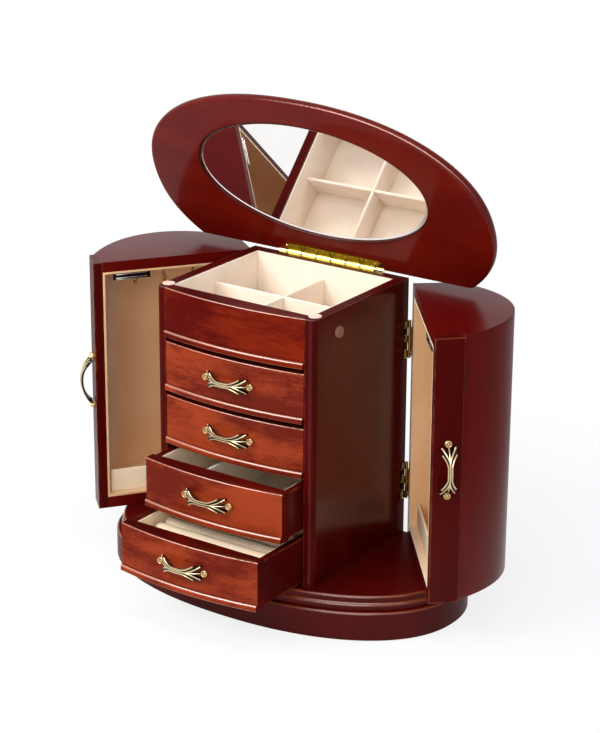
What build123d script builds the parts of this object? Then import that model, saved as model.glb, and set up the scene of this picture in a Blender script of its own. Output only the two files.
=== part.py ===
"""Oval vanity box: a case with four bow-front drawers, two swing-out doors and a lift-up lid with a mirror.

Millimetres, +Z up. The origin is under the middle of the oval base. X runs along the drawer fronts, and the
front faces -Y. The lid and both doors stand open and the two lowest drawers are pulled out part of the way.
"""

from build123d import *
import math
import os

os.makedirs("parts", exist_ok=True)

# ---------------------------------------------------------------- driving sizes
# Fits
running_gap = 0.3  # between pieces that move past each other
glue_gap = 0.1  # between curved pieces that are glued together
pin_clearance = 0.05  # radial, hinge pin in its knuckle

# Base
base_half_width = 175.5
base_half_depth = 105.6
base_exponent = 2.2
base_back_y = 66.0
outline_span_count = 32
felt_thickness = 1.0
felt_margin = 4.0
plinth_height = 25.7
plinth_round = 2.4
step_height = 7.4
step_inset = 2.0
step_round = 4.4
bead_height = 5.4
bead_inset = 6.4
bead_round = 2.4

# Case
case_half_width = 83.0
case_front_y = -82.8
case_back_y = 62.5
case_height = 242.5
side_thickness = 10.0
back_thickness = 9.5
post_round = 6.0
edge_round = 0.8

# Bow fronts
front_thickness = 9.8
bow_rise = 7.2
front_round = 1.2
lip_height = 5.8
lip_reach = 2.6
lip_round = 2.4
lip_lower_round = 0.8
fascia_height = 44.0

# Drawers, numbered from the top
drawer_gap = 4.8
lowest_drawer_lift = 1.7
drawer_side_gap = 0.5
drawer_pulled = (0.0, 0.0, 30.7, 65.9)
box_lift = 1.2
box_drop = 1.5
box_shoulder = 0.7
box_wall = 6.0
box_floor = 3.0
box_back_gap = 5.0
drawer_lining = 1.2
runner_height = 4.0
runner_width = 7.0
runner_end_gap = 6.0
divider_thickness = 3.2
divider_drop = 6.0
divider_share = 1 / 3
roll_count = 7
roll_radius = 7.4
roll_pitch = 15.0
roll_top_drop = 9.0
roll_end_gap = 2.0

# Tray under the lid
tray_depth = 37.6
tray_floor_thickness = 3.4
tray_lining_wall = 1.3
tray_lining_drop = 0.5
tray_divider_drop = 13.6
tray_divider_round = 1.2

# Lid and mirror
lid_half_width = 178.3
lid_half_depth = 105.2
lid_exponent = 2.2
lid_centre_y = -1.0
lid_back_y = 64.45
lid_thickness = 10.3
lid_gap = 1.1
lid_lower_round = 3.6
lid_upper_round = 5.6
lid_angle = 65.7
mirror_half_width = 118.9
mirror_half_depth = 60.7
mirror_centre_y = -20.9
mirror_thickness = 3.0
mirror_recess = 2.5
mirror_margin = 0.3
mirror_bevel_width = 2.4
mirror_bevel_depth = 0.8
bumper_radius = 5.6
bumper_thickness = 0.8
bumper_set_back = 10.3

# Lid hinge
lid_hinge_y = 64.8
lid_hinge_length = 112.0
lid_knuckle_pitch = 15.75
lid_knuckle_count = 8
lid_knuckle_radius = 2.0
lid_pin_radius = 0.8
lid_leaf_reach = 9.6
lid_leaf_thickness = 0.4
lid_leaf_corner = 5.0

# Doors
door_gap = 3.4
door_back_inset = 1.1
door_pivot_behind = 0.5
door_length = 148.0
facet_width = 26.0
facet_slant = 3.0
door_curve_half_width = 164.5
door_curve_behind = 39.4
door_curve_ahead = 21.8
door_bottom_gap = 0.6
door_top_drop = 4.2
door_top_thickness = 9.5
door_bottom_thickness = 10.5
stile_thickness = 8.8
shell_thickness = 4.0
door_lining = 2.2
pocket_height = 21.4
pocket_setback = 7.0
pocket_thickness = 2.0
door_left_angle = 36.5
door_right_angle = 39.2

# Door hinges
door_hinge_length = 35.0
door_hinge_end_gap = 34.4
door_knuckle_radius = 1.45
door_knuckle_count = 5
door_pin_radius = 0.6
door_leaf_reach = 10.0
door_leaf_thickness = 0.8

# Door furniture
magnet_radius = 4.9
magnet_proud = 2.9
magnet_seat = 4.0
magnet_offset = 3.6  # behind the middle of the strike that meets it
strike_setback = 35.6
strike_length = 34.5
strike_height = 5.8
strike_depth = 8.0
strike_thickness = 0.9
hook_setback = 43.0
hook_pitch = 27.5
hook_count = 3
hook_depth = 20.0
hook_drop = 16.6
hook_bend = 3.2
hook_wire = 1.0
hook_flange_radius = 3.0
hook_flange_thickness = 1.0

# Bow pulls
pull_spacing = 46.4
pull_projection = 12.6
pull_bar_thickness = 2.0
pull_waist = 4.6
pull_fan_start = 5.2
pull_fan_reach = 15.6
pull_fan_width = 13.4
pull_tip_reach = 20.6
pull_tip_width = 13.2
pull_tip_thickness = 1.5
pull_crotch_reach = 12.6
pull_bend = 0.3
pull_neck = 2.4
pull_boss_radius = 3.4
pull_boss_height = 3.4
pull_boss_round = 1.4
pull_rise = 2.6
door_pull_rise = 3.8

# ---------------------------------------------------------------- worked-out places
plinth_top = felt_thickness + plinth_height
step_top = plinth_top + step_height
base_top = step_top + bead_height
case_top = base_top + case_height
inner_half_width = case_half_width - side_thickness
drawer_pitch = (case_height - fascia_height - lowest_drawer_lift) / 4
drawer_height = drawer_pitch - drawer_gap
front_back_y = case_front_y + front_thickness
back_inner_y = case_back_y - back_thickness
case_middle_y = (case_front_y + case_back_y) / 2
inside_middle_y = (front_back_y + back_inner_y) / 2
bow_radius = (inner_half_width**2 + bow_rise**2) / (2 * bow_rise)
bow_centre_y = case_front_y - bow_rise + bow_radius

fascia_bottom = case_top - fascia_height
tray_lining_bottom = case_top - tray_depth - tray_lining_wall
tray_lining_top = case_top - tray_lining_drop
tray_inner_half_width = inner_half_width - glue_gap - tray_lining_wall
tray_inner_front = front_back_y + glue_gap + tray_lining_wall
tray_inner_back = back_inner_y - glue_gap - tray_lining_wall
tray_mid_y = (tray_inner_front + tray_inner_back) / 2

drawer_bottoms = [base_top + lowest_drawer_lift + drawer_pitch * (3 - row) for row in range(4)]
drawer_half_width = inner_half_width - drawer_side_gap
box_half_width = drawer_half_width - box_shoulder
box_back_y = back_inner_y - box_back_gap
box_length = box_back_y - front_back_y

lid_underside = case_top + lid_gap
lid_hinge_z = case_top + lid_gap / 2
lid_plane = Plane(
    origin=(0, lid_hinge_y, lid_hinge_z),
    x_dir=(1, 0, 0),
    z_dir=(0, math.sin(math.radians(lid_angle)), math.cos(math.radians(lid_angle))),
)
lid_base = lid_underside - lid_hinge_z

door_bottom = base_top + door_bottom_gap
door_top = case_top - door_top_drop
door_middle = (door_bottom + door_top) / 2
cavity_bottom = door_bottom + door_bottom_thickness
cavity_top = door_top - door_top_thickness
door_pivot_x = case_half_width + door_gap / 2
door_pivot_y = case_back_y + door_pivot_behind
pivot_to_face = door_gap / 2
pivot_to_back = door_pivot_behind + door_back_inset
curve_centre_depth = -(case_half_width + door_gap)
door_curve_half_depth = (door_curve_behind + door_length + door_curve_ahead) / 2
curve_centre_reach = door_curve_half_depth - door_curve_behind
door_hinge_inset = door_hinge_end_gap + door_hinge_length / 2
door_hinge_middles = (door_bottom + door_hinge_inset, door_top - door_hinge_inset)
strike_reach = door_length - strike_setback
strike_top = cavity_top - door_lining


def finish(piece, name):
    """Labels a finished sub-part and writes it as its own STEP file."""
    piece.part.label = name
    export_step(piece.part, f"parts/{name}.step")


def oval_line(half_width, half_depth, exponent, centre_y, back_y):
    """Draws a superellipse with a straight back in the line builder that is open."""
    back_angle = math.asin(((back_y - centre_y) / half_depth) ** (exponent / 2))
    sweep_angle = math.pi + 2 * back_angle
    points = []
    for step in range(outline_span_count + 1):
        angle = back_angle - sweep_angle * step / outline_span_count
        x = half_width * math.copysign(abs(math.cos(angle)) ** (2 / exponent), math.cos(angle))
        y = half_depth * math.copysign(abs(math.sin(angle)) ** (2 / exponent), math.sin(angle))
        points.append((x, centre_y + y))
    Spline(*points)
    Line(points[-1], points[0])


# ---------------------------------------------------------------- base
def base_outline(inset):
    """Draws the base's oval, brought in on every side but the back by the inset."""
    oval_line(base_half_width - inset, base_half_depth - inset, base_exponent, 0, base_back_y)


with BuildPart() as base_felt:
    with BuildSketch():
        with BuildLine():
            oval_line(
                base_half_width - felt_margin,
                base_half_depth - felt_margin,
                base_exponent,
                0,
                base_back_y - felt_margin,
            )
        make_face()
    extrude(amount=felt_thickness)
finish(base_felt, "base_felt")

with BuildPart() as base_plinth:
    with BuildSketch(Plane.XY.offset(felt_thickness)):
        with BuildLine():
            base_outline(0)
        make_face()
    extrude(amount=plinth_height)
    fillet(base_plinth.edges().group_by(Axis.Z)[-1].filter_by(GeomType.BSPLINE), plinth_round)
finish(base_plinth, "base_plinth")

# The top board's edge is an ovolo under a small bead.
with BuildPart() as base_top_board:
    with BuildSketch(Plane.XY.offset(plinth_top)):
        with BuildLine():
            base_outline(plinth_round + step_inset)
        make_face()
    extrude(amount=step_height)
    fillet(base_top_board.edges().group_by(Axis.Z)[-1].filter_by(GeomType.BSPLINE), step_round)
    with BuildSketch(Plane.XY.offset(step_top)):
        with BuildLine():
            base_outline(bead_inset)
        make_face()
    extrude(amount=bead_height)
    fillet(base_top_board.edges().group_by(Axis.Z)[-1].filter_by(GeomType.BSPLINE), bead_round)
finish(base_top_board, "base_top_board")

# ---------------------------------------------------------------- case
magnet_y = case_back_y - door_back_inset - strike_reach + magnet_offset
magnet_z = strike_top - strike_height / 2

for side, side_name in ((-1, "left"), (1, "right")):
    outer_face = Plane(origin=(side * case_half_width, magnet_y, magnet_z), z_dir=(side, 0, 0))
    with BuildPart() as side_panel:
        with BuildSketch(Plane.XY.offset(base_top)):
            with Locations((side * (case_half_width - side_thickness / 2), case_middle_y)):
                Rectangle(side_thickness, case_back_y - case_front_y)
        extrude(amount=case_height)
        uprights = side_panel.edges().filter_by(Axis.Z)
        fillet(uprights.group_by(Axis.Y)[0].sort_by(Axis.X)[0 if side < 0 else -1], post_round)
        fillet(side_panel.edges().filter_by(Axis.Y).group_by(Axis.Z)[-1], edge_round)
        with BuildSketch(outer_face):
            Circle(magnet_radius + pin_clearance)
        extrude(amount=-magnet_seat, mode=Mode.SUBTRACT)
    finish(side_panel, f"side_panel_{side_name}")

with BuildPart() as back_panel:
    with BuildSketch(Plane.XY.offset(base_top)):
        with Locations((0, case_back_y - back_thickness / 2)):
            Rectangle(2 * inner_half_width, back_thickness)
    extrude(amount=case_height)
finish(back_panel, "back_panel")

with BuildPart() as door_magnets:
    for side in (-1, 1):
        seat_x = side * (case_half_width - magnet_seat)
        seat = Plane(origin=(seat_x, magnet_y, magnet_z), z_dir=(side, 0, 0))
        with BuildSketch(seat):
            Circle(magnet_radius)
        extrude(amount=magnet_seat + magnet_proud)
    fillet(door_magnets.edges().group_by(Axis.X)[0] + door_magnets.edges().group_by(Axis.X)[-1], edge_round)
finish(door_magnets, "door_magnets")

with BuildPart() as lid_bumpers:
    with BuildSketch(Plane.XY.offset(case_top)):
        with Locations(
            (edge_round + bumper_radius - case_half_width, case_front_y + bumper_set_back),
            (case_half_width - edge_round - bumper_radius, case_front_y + bumper_set_back),
        ):
            Circle(bumper_radius)
    extrude(amount=bumper_thickness)
finish(lid_bumpers, "lid_bumpers")


def bow_front(bottom, height, half_width, pulled):
    """A bow-fronted board with a rounded top edge and a bead along its bottom edge."""
    ends_y = case_front_y - pulled
    back_y = front_back_y - pulled
    with BuildPart() as front:
        with BuildSketch(Plane.XY.offset(bottom)):
            with BuildLine():
                ThreePointArc((-half_width, ends_y), (0, ends_y - bow_rise), (half_width, ends_y))
                Polyline(
                    (half_width, ends_y), (half_width, back_y), (-half_width, back_y), (-half_width, ends_y)
                )
            make_face()
        extrude(amount=height)
        fillet(front.edges().group_by(Axis.Z)[-1].sort_by(Axis.Y)[0], front_round)
        with BuildSketch(Plane.XY.offset(bottom)):
            with BuildLine():
                lip_y = ends_y - lip_reach
                ThreePointArc((-half_width, lip_y), (0, lip_y - bow_rise), (half_width, lip_y))
                Polyline(
                    (half_width, lip_y), (half_width, back_y), (-half_width, back_y), (-half_width, lip_y)
                )
            make_face()
        extrude(amount=lip_height)
        fillet(front.edges().group_by(Axis.Y)[0].sort_by(Axis.Z)[-1], lip_round)
        fillet(front.edges().group_by(Axis.Y)[0].sort_by(Axis.Z)[0], lip_lower_round)
    return front


finish(bow_front(fascia_bottom, fascia_height, inner_half_width, 0), "front_fascia")

with BuildPart() as drawer_runners:
    for bottom in drawer_bottoms:
        top = bottom + box_lift - running_gap
        low = max(base_top, top - runner_height)
        for side in (-1, 1):
            with BuildSketch(Plane.XY.offset(low)):
                with Locations((side * (inner_half_width - runner_width / 2), inside_middle_y)):
                    Rectangle(runner_width, back_inner_y - front_back_y - runner_end_gap)
            extrude(amount=top - low)
finish(drawer_runners, "drawer_runners")

# ---------------------------------------------------------------- tray
with BuildPart() as tray_floor:
    with BuildSketch(Plane.XY.offset(tray_lining_bottom - tray_floor_thickness)):
        with Locations((0, inside_middle_y)):
            Rectangle(2 * (inner_half_width - glue_gap), back_inner_y - front_back_y - 2 * glue_gap)
    extrude(amount=tray_floor_thickness)
finish(tray_floor, "tray_floor")

with BuildPart() as tray_lining:
    with BuildSketch(Plane.XY.offset(tray_lining_bottom)):
        with Locations((0, tray_mid_y)):
            Rectangle(2 * (inner_half_width - glue_gap), back_inner_y - front_back_y - 2 * glue_gap)
    extrude(amount=tray_lining_top - tray_lining_bottom)
    offset(amount=-tray_lining_wall, openings=tray_lining.faces().sort_by(Axis.Z)[-1])
finish(tray_lining, "tray_lining")

divider_bottom = tray_lining_bottom + tray_lining_wall
divider_top = case_top - tray_divider_drop
divider_height = divider_top - divider_bottom
divider_half_height = divider_height / 2


def tray_divider(length, along_x, slot_on_top):
    """A tray divider with rounded top edges, halved at its middle over the other one."""
    size = (length, divider_thickness) if along_x else (divider_thickness, length)
    slot_size = divider_thickness + 2 * glue_gap
    slot_low = divider_bottom + (divider_half_height if slot_on_top else -glue_gap)
    with BuildPart() as divider:
        with BuildSketch(Plane.XY.offset(divider_bottom)):
            with Locations((0, tray_mid_y)):
                Rectangle(*size)
        extrude(amount=divider_height)
        long_edges = divider.edges().filter_by(Axis.X if along_x else Axis.Y)
        fillet(long_edges.group_by(Axis.Z)[-1], tray_divider_round)
        with BuildSketch(Plane.XY.offset(slot_low)):
            with Locations((0, tray_mid_y)):
                Rectangle(slot_size, slot_size)
        extrude(amount=divider_half_height + glue_gap, mode=Mode.SUBTRACT)
    return divider


finish(tray_divider(2 * tray_inner_half_width, True, True), "tray_divider_long")
finish(tray_divider(tray_inner_back - tray_inner_front, False, False), "tray_divider_cross")


# ---------------------------------------------------------------- bow pulls
def bow_pull(seat, boss_root):
    """A cast bow pull on a plane whose X runs along the pull and whose Z points away from the wood.

    The bow is the arched side view cut to the plan outline. In plan a narrow neck carries the boss at
    each end, and a fan on both sides of the neck splays from the waist to a blunt tip beside the boss.
    The bosses run on below the plane by boss_root, for a seat that falls away.
    """
    half_spacing = pull_spacing / 2
    outer_foot = half_spacing + pull_bar_thickness / 2
    inner_foot = half_spacing - pull_bar_thickness
    inner_rise = pull_projection - pull_bar_thickness
    side_view = Plane(origin=seat.origin, x_dir=seat.x_dir, z_dir=seat.x_dir.cross(seat.z_dir))
    fan_middle = (pull_fan_start + pull_fan_reach) / 2
    fan_swell = pull_waist / 2 + (pull_fan_width - pull_waist) / 2 * pull_bend
    tip_inner = pull_tip_width / 2 - pull_tip_thickness
    slot_middle = (pull_crotch_reach + pull_tip_reach) / 2
    slot_swell = pull_neck / 2 + (tip_inner - pull_neck / 2) * pull_bend
    with BuildPart() as pull:
        with BuildSketch(side_view):
            with BuildLine():
                ThreePointArc((-outer_foot, 0), (0, pull_projection), (outer_foot, 0))
                Line((outer_foot, 0), (inner_foot, 0))
                ThreePointArc((inner_foot, 0), (0, inner_rise), (-inner_foot, 0))
                Line((-inner_foot, 0), (-outer_foot, 0))
            make_face()
        extrude(amount=pull_fan_width, both=True)
        with BuildSketch(seat):
            Rectangle(2 * outer_foot, pull_neck)
            Rectangle(2 * pull_fan_start, pull_waist)
            for end in (-1, 1):
                for edge in (-1, 1):
                    start = (end * pull_fan_start, edge * pull_waist / 2)
                    fan_tip = (end * pull_fan_reach, edge * pull_fan_width / 2)
                    far_tip = (end * pull_tip_reach, edge * pull_tip_width / 2)
                    near_tip = (end * pull_tip_reach, edge * tip_inner)
                    crotch = (end * pull_crotch_reach, edge * pull_neck / 2)
                    with BuildLine():
                        ThreePointArc(start, (end * fan_middle, edge * fan_swell), fan_tip)
                        Polyline(fan_tip, far_tip, near_tip)
                        ThreePointArc(near_tip, (end * slot_middle, edge * slot_swell), crotch)
                        Polyline(crotch, (end * pull_fan_start, 0), start)
                    make_face()
        extrude(amount=pull_projection, mode=Mode.INTERSECT)
        with BuildSketch(seat.offset(-boss_root)):
            with GridLocations(pull_spacing, 0, 2, 1):
                Circle(pull_boss_radius)
        extrude(amount=pull_boss_height + boss_root)
        boss_rims = pull.edges().filter_by(GeomType.CIRCLE)
        boss_tops = boss_rims.filter_by(
            lambda rim: abs(seat.to_local_coords(rim.center()).Z - pull_boss_height) < glue_gap / 2
        )
        boss_tops = boss_tops.filter_by(lambda rim: abs(rim.radius - pull_boss_radius) < glue_gap / 2)
        fillet(boss_tops, pull_boss_round)
    return pull


# ---------------------------------------------------------------- drawers
def bow_drop(x):
    """How far the bow front has fallen back from its middle at a distance x from the middle."""
    return bow_radius - math.sqrt(bow_radius**2 - x**2)


def drawer_case(bottom, pulled):
    """The drawer's box behind its front: two sides, a back and a bottom."""
    low = bottom + box_lift
    high = bottom + drawer_height - box_drop
    front_y = front_back_y - pulled
    with BuildPart() as case:
        with BuildSketch(Plane.XY.offset(low)):
            with Locations((0, front_y + box_length / 2)):
                Rectangle(2 * box_half_width, box_length)
        extrude(amount=high - low)
        with BuildSketch(Plane.XY.offset(low + box_floor)):
            with Locations((0, front_y + (box_length - box_wall) / 2)):
                Rectangle(2 * (box_half_width - box_wall), box_length - box_wall)
        extrude(amount=high - low, mode=Mode.SUBTRACT)
        fillet(case.edges().filter_by(Axis.Z).group_by(Axis.Y)[-1], edge_round)
    return case


lining_half_width = box_half_width - box_wall - glue_gap
lining_length = box_length - box_wall - 2 * glue_gap


def drawer_lining_box(bottom, pulled):
    """The velvet box that lines a drawer."""
    low = bottom + box_lift + box_floor
    high = bottom + drawer_height - box_drop - tray_lining_drop
    with BuildPart() as lining:
        with BuildSketch(Plane.XY.offset(low)):
            with Locations((0, front_back_y - pulled + glue_gap + lining_length / 2)):
                Rectangle(2 * lining_half_width, lining_length)
        extrude(amount=high - low)
        offset(amount=-drawer_lining, openings=lining.faces().sort_by(Axis.Z)[-1])
    return lining


for row, (bottom, pulled) in enumerate(zip(drawer_bottoms, drawer_pulled), start=1):
    seat_y = case_front_y - pulled - bow_rise + bow_drop(pull_spacing / 2)
    seat_z = bottom + drawer_height / 2 + pull_rise
    boss_root = bow_drop(pull_spacing / 2 + pull_boss_radius) - bow_drop(pull_spacing / 2)
    pull_seat = Plane(origin=(0, seat_y, seat_z), x_dir=(1, 0, 0), z_dir=(0, -1, 0))
    finish(bow_front(bottom, drawer_height, drawer_half_width, pulled), f"drawer_{row}_front")
    finish(drawer_case(bottom, pulled), f"drawer_{row}_case")
    finish(drawer_lining_box(bottom, pulled), f"drawer_{row}_lining")
    with BuildPart() as drawer_pull:
        add(bow_pull(pull_seat, boss_root).part)
        with BuildSketch(Plane.XY.offset(bottom)):
            with Locations((0, bow_centre_y - pulled)):
                Circle(bow_radius + glue_gap)
        extrude(amount=drawer_height, mode=Mode.SUBTRACT)
    finish(drawer_pull, f"drawer_{row}_pull")

lined_half_width = lining_half_width - drawer_lining
lined_length = lining_length - 2 * drawer_lining
lined_lift = box_lift + box_floor + drawer_lining

with BuildPart() as drawer_3_divider:
    front_y = front_back_y - drawer_pulled[2] + glue_gap + drawer_lining
    low = drawer_bottoms[2] + lined_lift
    high = drawer_bottoms[2] + drawer_height - divider_drop
    with BuildSketch(Plane.XY.offset(low)):
        with Locations((lined_half_width * (2 * divider_share - 1), front_y + lined_length / 2)):
            Rectangle(divider_thickness, lined_length)
    extrude(amount=high - low)
    fillet(drawer_3_divider.edges().filter_by(Axis.Y).group_by(Axis.Z)[-1], tray_divider_round)
finish(drawer_3_divider, "drawer_3_divider")

# One foam block whose top is a row of rolls; rings are pressed into the grooves between them.
with BuildPart() as drawer_4_ring_pad:
    low = drawer_bottoms[3] + lined_lift
    roll_centre_z = drawer_bottoms[3] + drawer_height - box_drop - roll_top_drop - roll_radius
    middle_y = front_back_y - drawer_pulled[3] + glue_gap + drawer_lining + lined_length / 2
    half_length = lined_half_width - roll_end_gap
    with BuildSketch(Plane(origin=(-half_length, middle_y, 0), x_dir=(0, 1, 0), z_dir=(1, 0, 0))):
        with Locations((0, (low + roll_centre_z) / 2)):
            Rectangle(roll_pitch * (roll_count - 1) + 2 * roll_radius, roll_centre_z - low)
        with Locations((0, roll_centre_z)):
            with GridLocations(roll_pitch, 0, roll_count, 1):
                Circle(roll_radius)
    extrude(amount=2 * half_length)
finish(drawer_4_ring_pad, "drawer_4_ring_pad")

# ---------------------------------------------------------------- lid and mirror
lid_lift_axis = Axis(lid_plane.origin, lid_plane.z_dir)

with BuildPart() as lid_panel:
    with BuildSketch(lid_plane.offset(lid_base)):
        with BuildLine():
            oval_line(
                lid_half_width,
                lid_half_depth,
                lid_exponent,
                lid_centre_y - lid_hinge_y,
                lid_back_y - lid_hinge_y,
            )
        make_face()
    extrude(amount=lid_thickness)
    rims = lid_panel.edges().filter_by(GeomType.BSPLINE).group_by(lid_lift_axis)
    fillet(rims[-1], lid_upper_round)
    rims = lid_panel.edges().filter_by(GeomType.BSPLINE).group_by(lid_lift_axis)
    fillet(rims[0], lid_lower_round)
    with BuildSketch(lid_plane.offset(lid_base)):
        with Locations((0, mirror_centre_y - lid_hinge_y)):
            Ellipse(mirror_half_width + mirror_margin, mirror_half_depth + mirror_margin)
    extrude(amount=mirror_recess + mirror_thickness, mode=Mode.SUBTRACT)
    with BuildSketch(Plane(origin=lid_plane.origin, z_dir=(1, 0, 0))):
        Circle(lid_knuckle_radius + running_gap)
    extrude(amount=lid_hinge_length / 2 + running_gap, both=True, mode=Mode.SUBTRACT)
finish(lid_panel, "lid_panel")

with BuildPart() as mirror:
    with BuildSketch(lid_plane.offset(lid_base + mirror_recess)):
        with Locations((0, mirror_centre_y - lid_hinge_y)):
            Ellipse(mirror_half_width, mirror_half_depth)
    extrude(amount=mirror_thickness)
    chamfer(
        mirror.edges().group_by(lid_lift_axis)[0],
        length=mirror_bevel_width,
        length2=mirror_bevel_depth,
        reference=mirror.faces().sort_by(lid_lift_axis)[0],
    )
finish(mirror, "mirror")


# ---------------------------------------------------------------- hinges
def knuckle_spans(length, inner_pitch, count):
    """Start and end of each knuckle along a hinge whose inner knuckles share one pitch."""
    inner = [inner_pitch * (step - (count - 2) / 2) for step in range(count - 1)]
    bounds = [-length / 2] + inner + [length / 2]
    return [(start + running_gap / 2, end - running_gap / 2) for start, end in zip(bounds[:-1], bounds[1:])]


def hinge_leaf(
    axis_plane, spans, plate_low, plate_thickness, plate_reach, barrel_radius, bore_radius, corner
):
    """A hinge leaf whose plate lies beside the barrel.

    The plane's Z runs along the pin, and its X points from the pin over the plate. The plate's lower face
    stands plate_low from the pin along the plane's Y.
    """
    length_low = min(start for start, _ in spans)
    length_high = max(end for _, end in spans)
    plate_start = barrel_radius + running_gap
    with BuildPart() as leaf:
        plate_face = Plane(
            origin=axis_plane.from_local_coords(Vector(0, plate_low, 0)),
            x_dir=axis_plane.z_dir,
            z_dir=axis_plane.y_dir,
        )
        with BuildSketch(plate_face):
            with Locations(((length_low + length_high) / 2, (plate_start + plate_reach) / 2)):
                Rectangle(length_high - length_low, plate_reach - plate_start)
            for start, end in spans:
                with Locations(((start + end) / 2, plate_start / 2)):
                    Rectangle(end - start, plate_start)
        extrude(amount=plate_thickness)
        for start, end in spans:
            with BuildSketch(axis_plane.offset(start)):
                Circle(barrel_radius)
            extrude(amount=end - start)
        with BuildSketch(axis_plane.offset(length_low)):
            Circle(bore_radius)
        extrude(amount=length_high - length_low, mode=Mode.SUBTRACT)
        if corner > 0:
            thin_edges = leaf.edges().filter_by(
                lambda edge: abs(edge.length - plate_thickness) < glue_gap / 2
            )
            far_edges = thin_edges.filter_by(
                lambda edge: abs(axis_plane.to_local_coords(edge.center()).X - plate_reach) < glue_gap
            )
            fillet(far_edges, corner)
    return leaf


lid_spans = knuckle_spans(lid_hinge_length, lid_knuckle_pitch, lid_knuckle_count)
lid_bore = lid_pin_radius + pin_clearance
case_axis = Plane(origin=(0, lid_hinge_y, lid_hinge_z), x_dir=(0, -1, 0), z_dir=(1, 0, 0))
upper_axis = Plane(origin=lid_plane.origin, x_dir=-lid_plane.y_dir, z_dir=(1, 0, 0))
lower_low = lid_gap / 2 - lid_leaf_thickness
finish(
    hinge_leaf(
        case_axis,
        lid_spans[0::2],
        lower_low,
        lid_leaf_thickness,
        lid_leaf_reach,
        lid_knuckle_radius,
        lid_bore,
        0,
    ),
    "lid_hinge_lower_leaf",
)
finish(
    hinge_leaf(
        upper_axis,
        lid_spans[1::2],
        -lid_gap / 2,
        lid_leaf_thickness,
        lid_leaf_reach,
        lid_knuckle_radius,
        lid_bore,
        lid_leaf_corner,
    ),
    "lid_hinge_upper_leaf",
)

with BuildPart() as lid_hinge_pin:
    with BuildSketch(case_axis.offset(-lid_hinge_length / 2)):
        Circle(lid_pin_radius)
    extrude(amount=lid_hinge_length)
finish(lid_hinge_pin, "lid_hinge_pin")


# ---------------------------------------------------------------- doors
def place_door(side, angle):
    """The plane of an opened door: the origin on its hinge pin, and X out of the door's flat side."""
    turn = math.radians(angle)
    pivot = (side * door_pivot_x, door_pivot_y, 0)
    return Plane(origin=pivot, x_dir=(side * math.cos(turn), math.sin(turn), 0), z_dir=(0, 0, 1))


door_knuckle_pitch = door_hinge_length / door_knuckle_count
door_spans = knuckle_spans(door_hinge_length, door_knuckle_pitch, door_knuckle_count)
stile_lean = facet_slant / facet_width
stile_side_reach = door_length - facet_slant - stile_thickness
far = door_curve_half_width

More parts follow.
